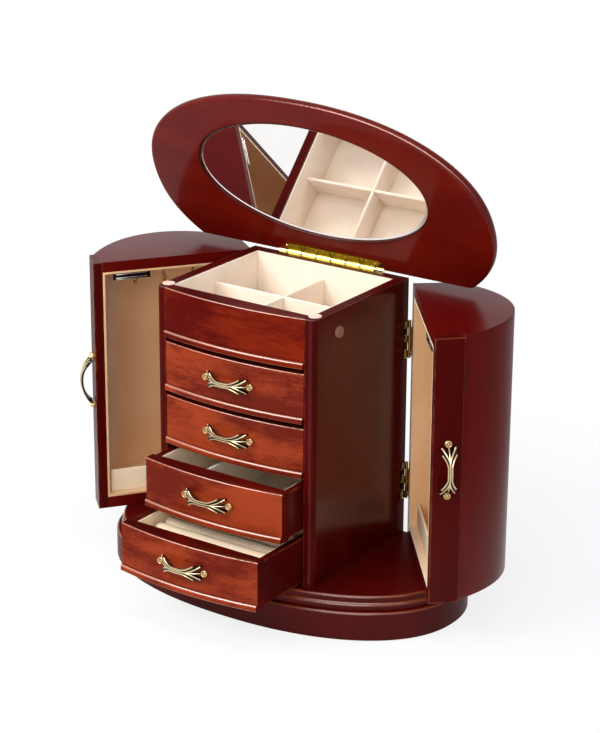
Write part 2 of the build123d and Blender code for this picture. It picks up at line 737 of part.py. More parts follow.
for side, side_name, door_angle in ((-1, "left", door_left_angle), (1, "right", door_right_angle)):
    door_plane = place_door(side, door_angle)

    def at(depth, reach):
        """A point on the door's plane: its depth out of the flat side, its reach from the back edge."""
        return (depth + pivot_to_face, -side * (reach + pivot_to_back))

    def door_outline(inset, corners):
        """Sketches the part of the door's curve, brought in by the inset, inside a ring of corners."""
        with Locations(at(curve_centre_depth, curve_centre_reach)):
            Ellipse(door_curve_half_width - inset, door_curve_half_depth - inset)
        Polygon(*[at(*corner) for corner in corners], align=None, mode=Mode.INTERSECT)

    behind_stile = [
        (0, 0),
        (0, door_length - stile_thickness),
        (facet_width, stile_side_reach),
        (facet_width, far),
        (far, far),
        (far, 0),
    ]

    with BuildPart() as door_end_panels:
        for low, high in ((door_bottom, cavity_bottom), (cavity_top, door_top)):
            with BuildSketch(door_plane.offset(low)):
                door_outline(0, behind_stile)
            extrude(amount=high - low)
        rims = door_end_panels.edges().filter_by(GeomType.ELLIPSE).group_by(Axis.Z)
        fillet(rims[0] + rims[-1], edge_round)
    finish(door_end_panels, f"door_{side_name}_end_panels")

    with BuildPart() as door_shell:
        with BuildSketch(door_plane.offset(cavity_bottom)):
            door_outline(0, [(facet_width, 0), (facet_width, far), (far, far), (far, 0)])
            with Locations(at(curve_centre_depth, curve_centre_reach)):
                Ellipse(
                    door_curve_half_width - shell_thickness,
                    door_curve_half_depth - shell_thickness,
                    mode=Mode.SUBTRACT,
                )
        extrude(amount=cavity_top - cavity_bottom)
    finish(door_shell, f"door_{side_name}_shell")

    with BuildPart() as door_front_stile:
        with BuildSketch(door_plane.offset(door_bottom)):
            with BuildLine():
                Polyline(
                    at(0, door_length),
                    at(facet_width, door_length - facet_slant),
                    at(facet_width, stile_side_reach),
                    at(0, door_length - stile_thickness),
                    close=True,
                )
            make_face()
        extrude(amount=door_top - door_bottom)
        facet_corner = door_plane.from_local_coords(Vector(*at(facet_width, door_length), door_middle))
        fillet(door_front_stile.edges().filter_by(Axis.Z).sort_by_distance(facet_corner)[0], edge_round)
    finish(door_front_stile, f"door_{side_name}_front_stile")

    with BuildPart() as door_back_stile:
        with BuildSketch(door_plane.offset(cavity_bottom)):
            door_outline(
                shell_thickness + glue_gap,
                [(0, 0), (0, stile_thickness), (far, stile_thickness), (far, 0)],
            )
        extrude(amount=cavity_top - cavity_bottom)
    finish(door_back_stile, f"door_{side_name}_back_stile")

    with BuildPart() as door_lining_box:
        with BuildSketch(door_plane.offset(cavity_bottom)):
            door_outline(
                shell_thickness + glue_gap,
                [
                    (0, stile_thickness),
                    (0, door_length - stile_thickness),
                    (facet_width, stile_side_reach),
                    (far, stile_side_reach),
                    (far, stile_thickness),
                ],
            )
        extrude(amount=cavity_top - cavity_bottom)
        with BuildSketch(door_plane.offset(cavity_bottom + door_lining)):
            door_outline(
                shell_thickness + glue_gap + door_lining,
                [
                    (-door_lining, stile_thickness + door_lining),
                    (-door_lining, door_length - stile_thickness - door_lining * (1 - stile_lean)),
                    (facet_width, stile_side_reach - door_lining),
                    (far, stile_side_reach - door_lining),
                    (far, stile_thickness + door_lining),
                ],
            )
        extrude(amount=cavity_top - cavity_bottom - 2 * door_lining, mode=Mode.SUBTRACT)
    finish(door_lining_box, f"door_{side_name}_lining")

    pocket_low = stile_thickness + door_lining
    pocket_high = stile_side_reach - door_lining
    with BuildPart() as door_pocket:
        with BuildSketch(door_plane.offset(cavity_bottom + door_lining)):
            with Locations(at(pocket_setback + pocket_thickness / 2, (pocket_low + pocket_high) / 2)):
                Rectangle(pocket_thickness, pocket_high - pocket_low)
        extrude(amount=pocket_height)
        fillet(door_pocket.edges().group_by(Axis.Z)[-1].sort_by(SortBy.LENGTH)[-2:], edge_round)
    finish(door_pocket, f"door_{side_name}_pocket")

    with BuildPart() as door_strike:
        with BuildSketch(door_plane.offset(strike_top - strike_height)):
            with Locations(at(strike_thickness / 2, strike_reach)):
                Rectangle(strike_thickness, strike_length)
        extrude(amount=strike_height)
        with BuildSketch(door_plane.offset(strike_top - strike_thickness)):
            with Locations(at(strike_depth / 2, strike_reach)):
                Rectangle(strike_depth, strike_length)
        extrude(amount=strike_thickness)
    finish(door_strike, f"door_{side_name}_strike")

    with BuildPart() as door_hooks:
        for step in range(hook_count):
            reach = door_length - hook_setback - hook_pitch * step
            foot = door_plane.from_local_coords(Vector(*at(hook_depth, reach), strike_top))
            across_door = door_plane.x_dir.cross(Vector(0, 0, 1))
            wire_plane = Plane(origin=foot, x_dir=door_plane.x_dir, z_dir=across_door)
            straight = hook_bend + hook_wire - hook_drop
            with BuildLine(wire_plane):
                Line((0, 0), (0, straight))
                ThreePointArc((0, straight), (-hook_bend, straight - hook_bend), (-2 * hook_bend, straight))
                Line((-2 * hook_bend, straight), (-2 * hook_bend, straight + hook_bend))
            with BuildSketch(Plane(origin=foot, z_dir=(0, 0, -1))):
                Circle(hook_wire)
            sweep()
            with BuildSketch(Plane(origin=foot, z_dir=(0, 0, -1))):
                Circle(hook_flange_radius)
            extrude(amount=hook_flange_thickness)
    finish(door_hooks, f"door_{side_name}_hooks")

    facet_normal = Vector(*[b - a for a, b in zip(at(0, 0), at(facet_slant, facet_width))], 0)
    pull_height = door_middle + door_pull_rise
    facet_middle = Vector(*at(facet_width / 2, door_length - facet_slant / 2), pull_height)
    facet_out = (door_plane.x_dir * facet_normal.X + door_plane.y_dir * facet_normal.Y).normalized()
    door_pull_seat = Plane(
        origin=door_plane.from_local_coords(facet_middle), x_dir=(0, 0, 1), z_dir=facet_out
    )
    finish(bow_pull(door_pull_seat, 0), f"door_{side_name}_pull")

    with BuildPart() as door_hinge_leaves:
        for middle in door_hinge_middles:
            axis_plane = Plane(
                origin=door_plane.from_local_coords(Vector(0, 0, middle)),
                x_dir=door_plane.y_dir * -side,
                z_dir=(0, 0, side),
            )
            leaf = hinge_leaf(
                axis_plane,
                door_spans[1::2],
                pivot_to_face - door_leaf_thickness,
                door_leaf_thickness,
                door_leaf_reach,
                door_knuckle_radius,
                door_pin_radius + pin_clearance,
                0,
            )
            add(leaf.part)
    finish(door_hinge_leaves, f"door_{side_name}_hinge_leaves")

with BuildPart() as door_hinge_case_leaves:
    for side in (-1, 1):
        for middle in door_hinge_middles:
            axis_plane = Plane(
                origin=(side * door_pivot_x, door_pivot_y, middle), x_dir=(0, -1, 0), z_dir=(0, 0, side)
            )
            leaf = hinge_leaf(
                axis_plane,
                door_spans[0::2],
                -pivot_to_face,
                door_leaf_thickness,
                door_leaf_reach,
                door_knuckle_radius,
                door_pin_radius + pin_clearance,
                0,
            )
            add(leaf.part)
finish(door_hinge_case_leaves, "door_hinge_case_leaves")

with BuildPart() as door_hinge_pins:
    for middle in door_hinge_middles:
        with BuildSketch(Plane.XY.offset(middle - door_hinge_length / 2)):
            with Locations((-door_pivot_x, door_pivot_y), (door_pivot_x, door_pivot_y)):
                Circle(door_pin_radius)
        extrude(amount=door_hinge_length)
finish(door_hinge_pins, "door_hinge_pins")
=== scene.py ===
import math

import bmesh
import bpy
from mathutils import Matrix, Vector, noise as value_noise


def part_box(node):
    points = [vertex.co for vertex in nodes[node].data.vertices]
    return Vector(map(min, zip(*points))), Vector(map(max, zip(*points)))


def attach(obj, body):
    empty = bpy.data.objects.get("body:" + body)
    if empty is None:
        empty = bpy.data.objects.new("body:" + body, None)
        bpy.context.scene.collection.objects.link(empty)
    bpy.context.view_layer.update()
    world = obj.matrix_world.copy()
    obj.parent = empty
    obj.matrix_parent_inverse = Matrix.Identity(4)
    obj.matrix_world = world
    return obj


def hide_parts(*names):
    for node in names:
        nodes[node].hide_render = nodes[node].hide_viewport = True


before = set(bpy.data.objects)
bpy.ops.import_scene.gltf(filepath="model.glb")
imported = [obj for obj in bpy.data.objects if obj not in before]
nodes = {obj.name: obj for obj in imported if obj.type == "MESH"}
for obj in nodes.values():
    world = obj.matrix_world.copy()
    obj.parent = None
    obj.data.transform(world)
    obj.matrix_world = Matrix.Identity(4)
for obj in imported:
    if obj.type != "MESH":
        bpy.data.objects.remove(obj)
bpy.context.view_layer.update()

mm = 0.001


# ---------------------------------------------------------------- shader helpers
def put(tree, kind, **inputs):
    """Adds a shader node, sets its inputs by name or number, and links an input that is given a socket."""
    node = tree.nodes.new(kind)
    for name, value in inputs.items():
        if name.startswith("_"):
            setattr(node, name[1:], value)
            continue
        numbered = name[0] == "i" and name[1:].isdigit()
        socket = node.inputs[int(name[1:])] if numbered else node.inputs[name.replace("_", " ")]
        if isinstance(value, bpy.types.NodeSocket):
            tree.links.new(value, socket)
        else:
            socket.default_value = value
    return node


def math_node(tree, operation, a, b=0.0, clamp=False):
    return put(tree, "ShaderNodeMath", _operation=operation, _use_clamp=clamp, i0=a, i1=b).outputs[0]


def add(tree, a, b, clamp=False):
    return math_node(tree, "ADD", a, b, clamp)


def times(tree, a, b):
    return math_node(tree, "MULTIPLY", a, b)


def larger(tree, a, b):
    return math_node(tree, "MAXIMUM", a, b)


def dot(tree, a, b):
    return put(tree, "ShaderNodeVectorMath", _operation="DOT_PRODUCT", i0=a, i1=b).outputs["Value"]


def less(tree, a, b):
    """One vector less another."""
    return put(tree, "ShaderNodeVectorMath", _operation="SUBTRACT", i0=a, i1=b).outputs[0]


def scaled(tree, vector, scale):
    return put(tree, "ShaderNodeVectorMath", _operation="SCALE", Vector=vector, Scale=scale).outputs[0]


def mix_colour(tree, factor, a, b):
    return put(tree, "ShaderNodeMix", _data_type="RGBA", i0=factor, i6=a, i7=b).outputs[2]


def map_range(tree, value, low, high, to_low=0.0, to_high=1.0, smooth=True):
    node = put(tree, "ShaderNodeMapRange", i0=value, i1=low, i2=high, i3=to_low, i4=to_high)
    node.interpolation_type = "SMOOTHSTEP" if smooth else "LINEAR"
    return node.outputs[0]


def stretched(tree, vector, scale):
    """The vector stretched by a scale along each axis."""
    return put(tree, "ShaderNodeMapping", Vector=vector, Scale=scale).outputs[0]


def noise(tree, vector, scale, detail=3.0, roughness=0.5, distortion=0.0):
    node = put(tree, "ShaderNodeTexNoise", Vector=vector, Scale=scale, Detail=detail, Roughness=roughness)
    node.inputs["Distortion"].default_value = distortion
    return node.outputs[0]


def start_group(name, inputs, outputs):
    """A shader node group; returns its tree, its inside inputs and its inside outputs."""
    tree = bpy.data.node_groups.new(name, "ShaderNodeTree")
    for socket_name, kind, value in inputs:
        socket = tree.interface.new_socket(socket_name, in_out="INPUT", socket_type=kind)
        if value is not None:
            socket.default_value = value
    for socket_name, kind in outputs:
        tree.interface.new_socket(socket_name, in_out="OUTPUT", socket_type=kind)
    return tree, tree.nodes.new("NodeGroupInput").outputs, tree.nodes.new("NodeGroupOutput").inputs


def place_group(tree, group, **inputs):
    node = tree.nodes.new("ShaderNodeGroup")
    node.node_tree = group
    for name, value in inputs.items():
        socket = node.inputs[name]
        if isinstance(value, bpy.types.NodeSocket):
            tree.links.new(value, socket)
        else:
            socket.default_value = value
    return node.outputs


def start_material(name):
    """A material; returns it, its tree, its Principled surface and its Object coordinates."""
    material = bpy.data.materials.new(name)
    material.use_nodes = True
    tree = material.node_tree
    coordinates = tree.nodes.new("ShaderNodeTexCoord").outputs["Object"]
    return material, tree, tree.nodes["Principled BSDF"], coordinates


def set_plain(surface, **values):
    """Sets the shader's uniform numbers on its own sockets."""
    for name, value in values.items():
        surface.inputs[name.replace("_", " ")].default_value = value


def add_bump(tree, surface, height, strength, distance):
    bump = put(tree, "ShaderNodeBump", Strength=strength, Distance=distance, Height=height)
    tree.links.new(bump.outputs[0], surface.inputs["Normal"])


# ---------------------------------------------------------------- shared effects
def build_grain_group():
    """Mahogany figure along X: cloudy stain, ribbon streaks, short dark flecks and pores."""
    tree, given, out = start_group(
        "mahogany grain",
        [
            ("Vector", "NodeSocketVector", None),
            ("Light", "NodeSocketColor", (0.3, 0.04, 0.014, 1)),
            ("Dark", "NodeSocketColor", (0.12, 0.01, 0.005, 1)),
            ("Figure", "NodeSocketFloat", 1.0),
        ],
        [("Color", "NodeSocketColor"), ("Roughness", "NodeSocketFloat"), ("Height", "NodeSocketFloat")],
    )
    vector = given["Vector"]
    cloud = noise(tree, stretched(tree, vector, (11, 26, 26)), 1.0, 3.0, 0.5, 0.4)
    ribbon = noise(tree, stretched(tree, vector, (18, 150, 150)), 1.0, 4.0, 0.55, 0.9)
    fleck = noise(tree, stretched(tree, vector, (130, 520, 520)), 1.0, 4.0, 0.6, 0.3)
    pore = noise(tree, stretched(tree, vector, (210, 2600, 2600)), 1.0, 2.0, 0.5)
    summed = add(tree, times(tree, cloud, 0.60), times(tree, ribbon, 0.20))
    summed = add(tree, summed, times(tree, fleck, 0.20))
    figure = map_range(tree, summed, 0.38, 0.62)
    level = times(tree, math_node(tree, "SUBTRACT", figure, 0.5), given["Figure"])
    level = add(tree, level, 0.5, clamp=True)
    colour = mix_colour(tree, level, given["Dark"], given["Light"])
    fleck_mask = map_range(tree, fleck, 0.56, 0.70)
    pore_mask = map_range(tree, pore, 0.60, 0.74)
    shade = add(tree, times(tree, fleck_mask, 0.16), times(tree, pore_mask, 0.22))
    shade = math_node(tree, "SUBTRACT", 1.0, times(tree, shade, given["Figure"]))
    tree.links.new(scaled(tree, colour, shade), out["Color"])
    rough = add(tree, times(tree, ribbon, 0.14), times(tree, pore_mask, 0.12))
    tree.links.new(add(tree, rough, 0.30), out["Roughness"])
    height = math_node(tree, "SUBTRACT", times(tree, ribbon, 0.3), times(tree, pore_mask, 0.5))
    tree.links.new(height, out["Height"])
    return tree


def build_edge_group():
    """How near a surface point is to an outer edge, whole and broken up so that wear looks uneven."""
    tree, given, out = start_group(
        "edge wear",
        [("Vector", "NodeSocketVector", None), ("Width", "NodeSocketFloat", 0.002)],
        [("Edge", "NodeSocketFloat"), ("Wear", "NodeSocketFloat")],
    )
    thin = put(tree, "ShaderNodeAmbientOcclusion", _inside=True, _only_local=True, Distance=given["Width"])
    thin.samples = 6
    edge = map_range(tree, thin.outputs["AO"], 0.85, 0.62)
    broken = map_range(tree, noise(tree, given["Vector"], 60.0, 3.0, 0.6), 0.38, 0.60)
    tree.links.new(edge, out["Edge"])
    tree.links.new(times(tree, edge, broken), out["Wear"])
    return tree


def build_facing_group():
    """How squarely a surface faces along an axis, either way, and how far it is rounded over from it."""
    tree, given, out = start_group(
        "facing",
        [
            ("Axis", "NodeSocketVector", (0, 0, 1)),
            ("Low", "NodeSocketFloat", 0.55),
            ("High", "NodeSocketFloat", 0.9),
        ],
        [("Mask", "NodeSocketFloat"), ("Rounding", "NodeSocketFloat")],
    )
    normal = tree.nodes.new("ShaderNodeNewGeometry").outputs["Normal"]
    along_axis = dot(tree, normal, given["Axis"])
    square = times(tree, along_axis, along_axis)
    rounding = times(tree, square, math_node(tree, "SUBTRACT", 1.0, square))
    rounding = times(tree, rounding, map_range(tree, square, 0.015, 0.10, 0.0, 4.0))
    tree.links.new(rounding, out["Rounding"])
    across = put(tree, "ShaderNodeMapRange", _interpolation_type="SMOOTHSTEP")
    tree.links.new(math_node(tree, "ABSOLUTE", along_axis), across.inputs["Value"])
    tree.links.new(given["Low"], across.inputs["From Min"])
    tree.links.new(given["High"], across.inputs["From Max"])
    tree.links.new(across.outputs["Result"], out["Mask"])
    return tree


def build_velvet_group():
    """Velvet pile: fine nap, brushed patches and faint rubbed places."""
    tree, given, out = start_group(
        "velvet nap",
        [
            ("Vector", "NodeSocketVector", None),
            ("Colour", "NodeSocketColor", (0.8, 0.7, 0.55, 1)),
            ("Shade", "NodeSocketColor", (0.6, 0.5, 0.38, 1)),
        ],
        [("Color", "NodeSocketColor"), ("Roughness", "NodeSocketFloat"), ("Height", "NodeSocketFloat")],
    )
    nap = noise(tree, given["Vector"], 1400.0, 2.0, 0.6)
    tuft = noise(tree, given["Vector"], 420.0, 2.0, 0.5)
    brushed = noise(tree, given["Vector"], 22.0, 3.0, 0.55, 0.8)
    fine = add(tree, times(tree, nap, 0.3), times(tree, tuft, 0.2))
    factor = add(tree, fine, times(tree, brushed, 0.5))
    colour = mix_colour(tree, map_range(tree, factor, 0.38, 0.62), given["Shade"], given["Colour"])
    tree.links.new(colour, out["Color"])
    tree.links.new(map_range(tree, brushed, 0.3, 0.7, 0.84, 0.98, smooth=False), out["Roughness"])
    tree.links.new(add(tree, nap, times(tree, tuft, 0.6)), out["Height"])
    return tree


def build_patina_group():
    """Antique finish: bright where the metal is rubbed, dark in the recesses, mottled between."""
    tree, given, out = start_group(
        "antique patina",
        [
            ("Vector", "NodeSocketVector", None),
            ("Bright", "NodeSocketColor", (0.6, 0.45, 0.2, 1)),
            ("Dark", "NodeSocketColor", (0.03, 0.022, 0.012, 1)),
            ("Wear", "NodeSocketFloat", 0.5),
        ],
        [("Color", "NodeSocketColor"), ("Roughness", "NodeSocketFloat"), ("Height", "NodeSocketFloat")],
    )
    point = tree.nodes.new("ShaderNodeNewGeometry").outputs["Pointiness"]
    mottle = noise(tree, given["Vector"], 260.0, 3.0, 0.5)
    rubbed = map_range(tree, point, 0.46, 0.54)
    level = add(tree, times(tree, rubbed, 0.85), times(tree, mottle, 0.25))
    level = add(tree, level, math_node(tree, "SUBTRACT", given["Wear"], 0.55), clamp=True)
    tree.links.new(mix_colour(tree, level, given["Dark"], given["Bright"]), out["Color"])
    tree.links.new(map_range(tree, level, 0.0, 1.0, 0.42, 0.20, smooth=False), out["Roughness"])
    tree.links.new(mottle, out["Height"])
    return tree


grain_group = build_grain_group()
edge_group = build_edge_group()
facing_group = build_facing_group()
velvet_group = build_velvet_group()
patina_group = build_patina_group()

# ---------------------------------------------------------------- finishes
along_x = (0.0, 0.0, 0.0)
along_y = (0.0, 0.0, math.radians(90))
along_z = (0.0, math.radians(90), 0.0)
# Light red of worn edges, also used for the painted highlight on rounded edges.
wear_and_highlight_red = (0.72, 0.20, 0.06, 1)
# Pink of the painted highlight line on the lid's rim.
painted_highlight_pink = (0.75, 0.42, 0.34, 1)
lid_angle = math.radians(65.7)
lid_face = (0.0, -math.sin(lid_angle), -math.cos(lid_angle))
lid_up = (0.0, -math.cos(lid_angle), math.sin(lid_angle))
# Near black painted shade for the recess round the mirror.
painted_recess_shade = (0.012, 0.003, 0.002, 1)
mirror_low, mirror_high = (Vector(corner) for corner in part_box("mirror"))
mirror_middle = (mirror_low + mirror_high) / 2
mirror_half_width = (mirror_high.x - mirror_low.x) / 2
mirror_half_height = (mirror_high.z - mirror_low.z) / 2 / math.sin(lid_angle)


def oval_mask(tree, coordinates, middle, half_width, half_height):
    """Zero inside an oval on the underside of the lid and one outside it."""
    apart = less(tree, coordinates, tuple(middle))
    across = dot(tree, apart, (1 / half_width, 0, 0))
    up = dot(tree, apart, [part / half_height for part in lid_up])
    square = add(tree, times(tree, across, across), times(tree, up, up))
    outside = map_range(tree, math_node(tree, "SQRT", square), 1.004, 1.016)
    normal = tree.nodes.new("ShaderNodeTexCoord").outputs["Normal"]
    toward = dot(tree, normal, lid_face)
    return larger(tree, outside, map_range(tree, toward, -0.2, 0.2, 1.0, 0.0))


def mahogany(
    name, turn, stain, level_stain_and_shade=None, figure=1.0, edge_shine=0.3, wear=0.2,
    shine=(0.05, 0.05, 0.20), rounding=1.0, highlight_paint=0.0, flat=(0.0, 0.0, 1.0), coat=(0.20, 1.5), burnish=0.0,
    low_shine=1.0, recess=None, dark_ends=False, back_fade=None, highlight_line_paint=0.0,
):
    """Lacquered mahogany: stained grain under a coat that is glossiest where the wood is rounded over.

    A stain is a light and a dark colour. The shine is the coat's weight on faces that look along Y, X and Z,
    and the coat's two numbers are its roughness and its index of refraction. Highlight paint lightens the
    rounded edges to the light red of the edge wear, a painted highlight.
    Low shine multiplies the coat near the bottom, back fade takes it off the sides between two depths, and a
    recess is the middle and half sizes of an oval painted near black, painted shade in the recess round the
    mirror. The level stain and shade colours the up-facing faces, and is painted shade on the drawer and
    fascia tops; dark ends have it on the ends too.
    Highlight line paint lays a painted highlight, a narrow pink line half way round the upper right of the
    edge of the flat face.
    """
    material, tree, surface, coordinates = start_material(name)
    level = place_group(tree, facing_group, Axis=(0, 0, 1))["Mask"]
    sideways = place_group(tree, facing_group, Axis=(1, 0, 0), Low=0.93, High=0.995)["Mask"]
    rounded = place_group(tree, facing_group, Axis=flat)["Rounding"]
    vector = put(tree, "ShaderNodeMapping", Vector=coordinates, Rotation=turn).outputs[0]
    if turn == along_z:
        mixed = put(tree, "ShaderNodeMix", _data_type="VECTOR", i0=level, i4=vector, i5=coordinates)
        vector = mixed.outputs[1]
    light, dark = stain
    # Up-facing faces take the level stain; on the drawer and fascia tops it is painted shade.
    if level_stain_and_shade:
        covered = larger(tree, level, sideways) if dark_ends else level
        light = mix_colour(tree, covered, light, level_stain_and_shade[0])
        dark = mix_colour(tree, covered, dark, level_stain_and_shade[1])
    grain = place_group(tree, grain_group, Vector=vector, Light=light, Dark=dark, Figure=figure)
    edges = place_group(tree, edge_group, Vector=vector)
    colour = grain["Color"]
    # Painted shade: the recess round the mirror is coloured near black.
    if recess:
        outside = oval_mask(tree, coordinates, *recess)
        rounded = times(tree, rounded, outside)
        colour = mix_colour(tree, outside, painted_recess_shade, colour)
    # Edge wear lightens the edges, and the highlight paint adds a painted highlight on the rounded edges.
    rubbed = times(tree, edges["Wear"], wear)
    if highlight_paint:
        rubbed = larger(tree, rubbed, times(tree, rounded, highlight_paint))
    colour = mix_colour(tree, rubbed, colour, wear_and_highlight_red)
    # Painted highlight: a narrow pink line on the upper right of the lid's rim.
    if highlight_line_paint:
        inner = place_group(tree, facing_group, Axis=flat, Low=0.40, High=0.47)["Mask"]
        outer = place_group(tree, facing_group, Axis=flat, Low=0.56, High=0.64)["Mask"]
        normal = tree.nodes.new("ShaderNodeNewGeometry").outputs["Normal"]
        parts = put(tree, "ShaderNodeSeparateXYZ", Vector=normal)
        upper = map_range(tree, parts.outputs[2], 0.0, 0.5)
        rightward = map_range(tree, parts.outputs[0], -0.04, 0.12)
        toward_end = map_range(tree, parts.outputs[0], 0.35, 0.75, 1.0, 0.4)
        line = times(tree, math_node(tree, "SUBTRACT", inner, outer), upper)
        line = times(tree, line, times(tree, rightward, toward_end))
        painted_highlight_share = times(tree, line, highlight_line_paint)
        colour = mix_colour(tree, painted_highlight_share, colour, painted_highlight_pink)
    tree.links.new(colour, surface.inputs["Base Color"])
    tree.links.new(grain["Roughness"], surface.inputs["Roughness"])
    on_front, on_side, on_level = shine
    if back_fade:
        depth = put(tree, "ShaderNodeSeparateXYZ", Vector=coordinates).outputs[1]
        sideways = times(tree, sideways, map_range(tree, depth, *back_fade, 1.0, 0.0))
    weight = map_range(tree, sideways, 0.0, 1.0, on_front, on_side, smooth=False)
    weight = add(tree, weight, map_range(tree, level, 0.0, 1.0, 0.0, on_level - on_front, smooth=False))
    if low_shine != 1.0:
        height = put(tree, "ShaderNodeSeparateXYZ", Vector=coordinates).outputs[2]
        weight = times(tree, weight, map_range(tree, height, 0.03, 0.19, low_shine, 1.0))
    weight = larger(tree, weight, times(tree, edges["Edge"], edge_shine))
    weight = larger(tree, weight, times(tree, rounded, rounding))
    if burnish:
        line = place_group(tree, facing_group, Axis=burnish_way, Low=0.965, High=0.995)["Mask"]
        weight = larger(tree, weight, times(tree, line, burnish))
    if recess:
        weight = times(tree, weight, outside)
    tree.links.new(weight, surface.inputs["Coat Weight"])
    set_plain(surface, Specular_IOR_Level=0.02, Coat_Roughness=coat[0], Coat_IOR=coat[1])
    add_bump(tree, surface, grain["Height"], 0.10, 0.0003)
    return material


def velvet(name, colour, shade, sheen=0.35, sheen_paint=0.0):
    """Short-piled cloth. Sheen paint is how far it pales, a painted sheen, where it is seen along its
    surface.
    """
    material, tree, surface, coordinates = start_material(name)
    nap = place_group(tree, velvet_group, Vector=coordinates, Colour=colour, Shade=shade)
    cloth = nap["Color"]
    # Painted sheen: the cloth pales towards a light colour where it is seen along its surface.
    if sheen_paint:
        slant = put(tree, "ShaderNodeLayerWeight", Blend=0.5).outputs["Facing"]
        cloth = mix_colour(tree, map_range(tree, slant, 0.35, 0.9, 0.0, sheen_paint), cloth, painted_sheen_colour)
    tree.links.new(cloth, surface.inputs["Base Color"])
    tree.links.new(nap["Roughness"], surface.inputs["Roughness"])
    set_plain(surface, Specular_IOR_Level=0.05, Sheen_Weight=sheen, Sheen_Roughness=0.45)
    set_plain(surface, Sheen_Tint=(1.0, 0.95, 0.88, 1))
    add_bump(tree, surface, nap["Height"], 0.30, 0.0003)
    return material


def old_metal(name, bright, dark, wear):
    material, tree, surface, coordinates = start_material(name)
    patina = place_group(tree, patina_group, Vector=coordinates, Bright=bright, Dark=dark, Wear=wear)
    tree.links.new(patina["Color"], surface.inputs["Base Color"])
    tree.links.new(patina["Roughness"], surface.inputs["Roughness"])
    set_plain(surface, Metallic=1.0)
    add_bump(tree, surface, patina["Height"], 0.15, 0.0001)
    return material


def hinge_gilt(name, pin, pitch, radius):
    """Gilt brass: bright on the knuckles round a pin along X, dull on the leaves, with painted shade
    darkening the gaps between knuckles.
    """
    material, tree, surface, coordinates = start_material(name)
    bright, dark = gilt_colours
    patina = place_group(tree, patina_group, Vector=coordinates, Bright=bright, Dark=dark, Wear=0.8)
    apart = less(tree, coordinates, tuple(pin))
    around = put(tree, "ShaderNodeVectorMath", _operation="MULTIPLY", i0=apart, i1=(0, 1, 1)).outputs[0]
    distance = put(tree, "ShaderNodeVectorMath", _operation="LENGTH", i0=around).outputs["Value"]
    leaf = map_range(tree, distance, radius, radius + 0.3 * mm)
    colour = mix_colour(tree, leaf, patina["Color"], dull_leaf)
    # Painted shade darkens the gaps between the knuckles.
    along = put(tree, "ShaderNodeSeparateXYZ", Vector=apart).outputs[0]
    painted_joint_shade = math_node(tree, "PINGPONG", along, pitch / 2)
    painted_joint_shade = map_range(tree, painted_joint_shade, 0.35 * mm, 0.9 * mm, 0.12, 1.0)
    tree.links.new(scaled(tree, colour, painted_joint_shade), surface.inputs["Base Color"])
    tree.links.new(patina["Roughness"], surface.inputs["Roughness"])
    set_plain(surface, Metallic=1.0)
    add_bump(tree, surface, patina["Height"], 0.15, 0.0001)
    return material


def silvered_glass(name):
    """Back-silvered glass, whose ground rim bends what it shows the other way."""
    material, tree, surface, coordinates = start_material(name)
    smudge = noise(tree, coordinates, 40.0, 3.0, 0.6)
    tint = mix_colour(tree, map_range(tree, smudge, 0.3, 0.8), (0.94, 0.93, 0.92, 1), (0.90, 0.89, 0.88, 1))
    tree.links.new(tint, surface.inputs["Base Color"])
    normal = tree.nodes.new("ShaderNodeTexCoord").outputs["Normal"]
    facing = dot(tree, normal, lid_face)
    smudged = map_range(tree, smudge, 0.4, 0.8, 0.004, 0.016)
    rough = add(tree, smudged, map_range(tree, facing, 0.97, 0.999, 0.3, 0.0))
    tree.links.new(rough, surface.inputs["Roughness"])
    straight = scaled(tree, lid_face, times(tree, facing, 1 + rim_bend))
    bent = less(tree, straight, scaled(tree, normal, rim_bend))
    turned = put(tree, "ShaderNodeVectorTransform", _vector_type="NORMAL", i0=bent)
    turned.convert_from = "OBJECT"
    turned.convert_to = "WORLD"
    tree.links.new(turned.outputs[0], surface.inputs["Normal"])
    set_plain(surface, Metallic=1.0)
    return material


rim_bend = 2.0
# Pale colour of the painted sheen on velvet seen along its surface.
painted_sheen_colour = (0.80, 0.72, 0.60, 1)
gilt_colours = ((0.95, 0.84, 0.42, 1), (0.55, 0.45, 0.14, 1))
dull_leaf = (0.42, 0.32, 0.06, 1)
burnish_way = (0.30, -0.954, 0.0)
front_stain = ((0.285, 0.038, 0.010, 1), (0.120, 0.009, 0.003, 1))
# Darker stain for the drawer and fascia tops: painted shade.
painted_shade_top_stain = ((0.085, 0.002, 0.001, 1), (0.045, 0.001, 0.001, 1))
fascia_stain = ((0.180, 0.013, 0.002, 1), (0.080, 0.002, 0.001, 1))
frame_stain = ((0.075, 0.002, 0.001, 1), (0.040, 0.001, 0.001, 1))
tabletop_stain = ((0.105, 0.002, 0.001, 1), (0.080, 0.001, 0.001, 1))
shell_stain = ((0.120, 0.004, 0.002, 1), (0.080, 0.002, 0.001, 1))
lid_stain = ((0.130, 0.006, 0.002, 1), (0.080, 0.002, 0.001, 1))
bench_stain = ((0.075, 0.001, 0.001, 1), (0.045, 0.001, 0.001, 1))

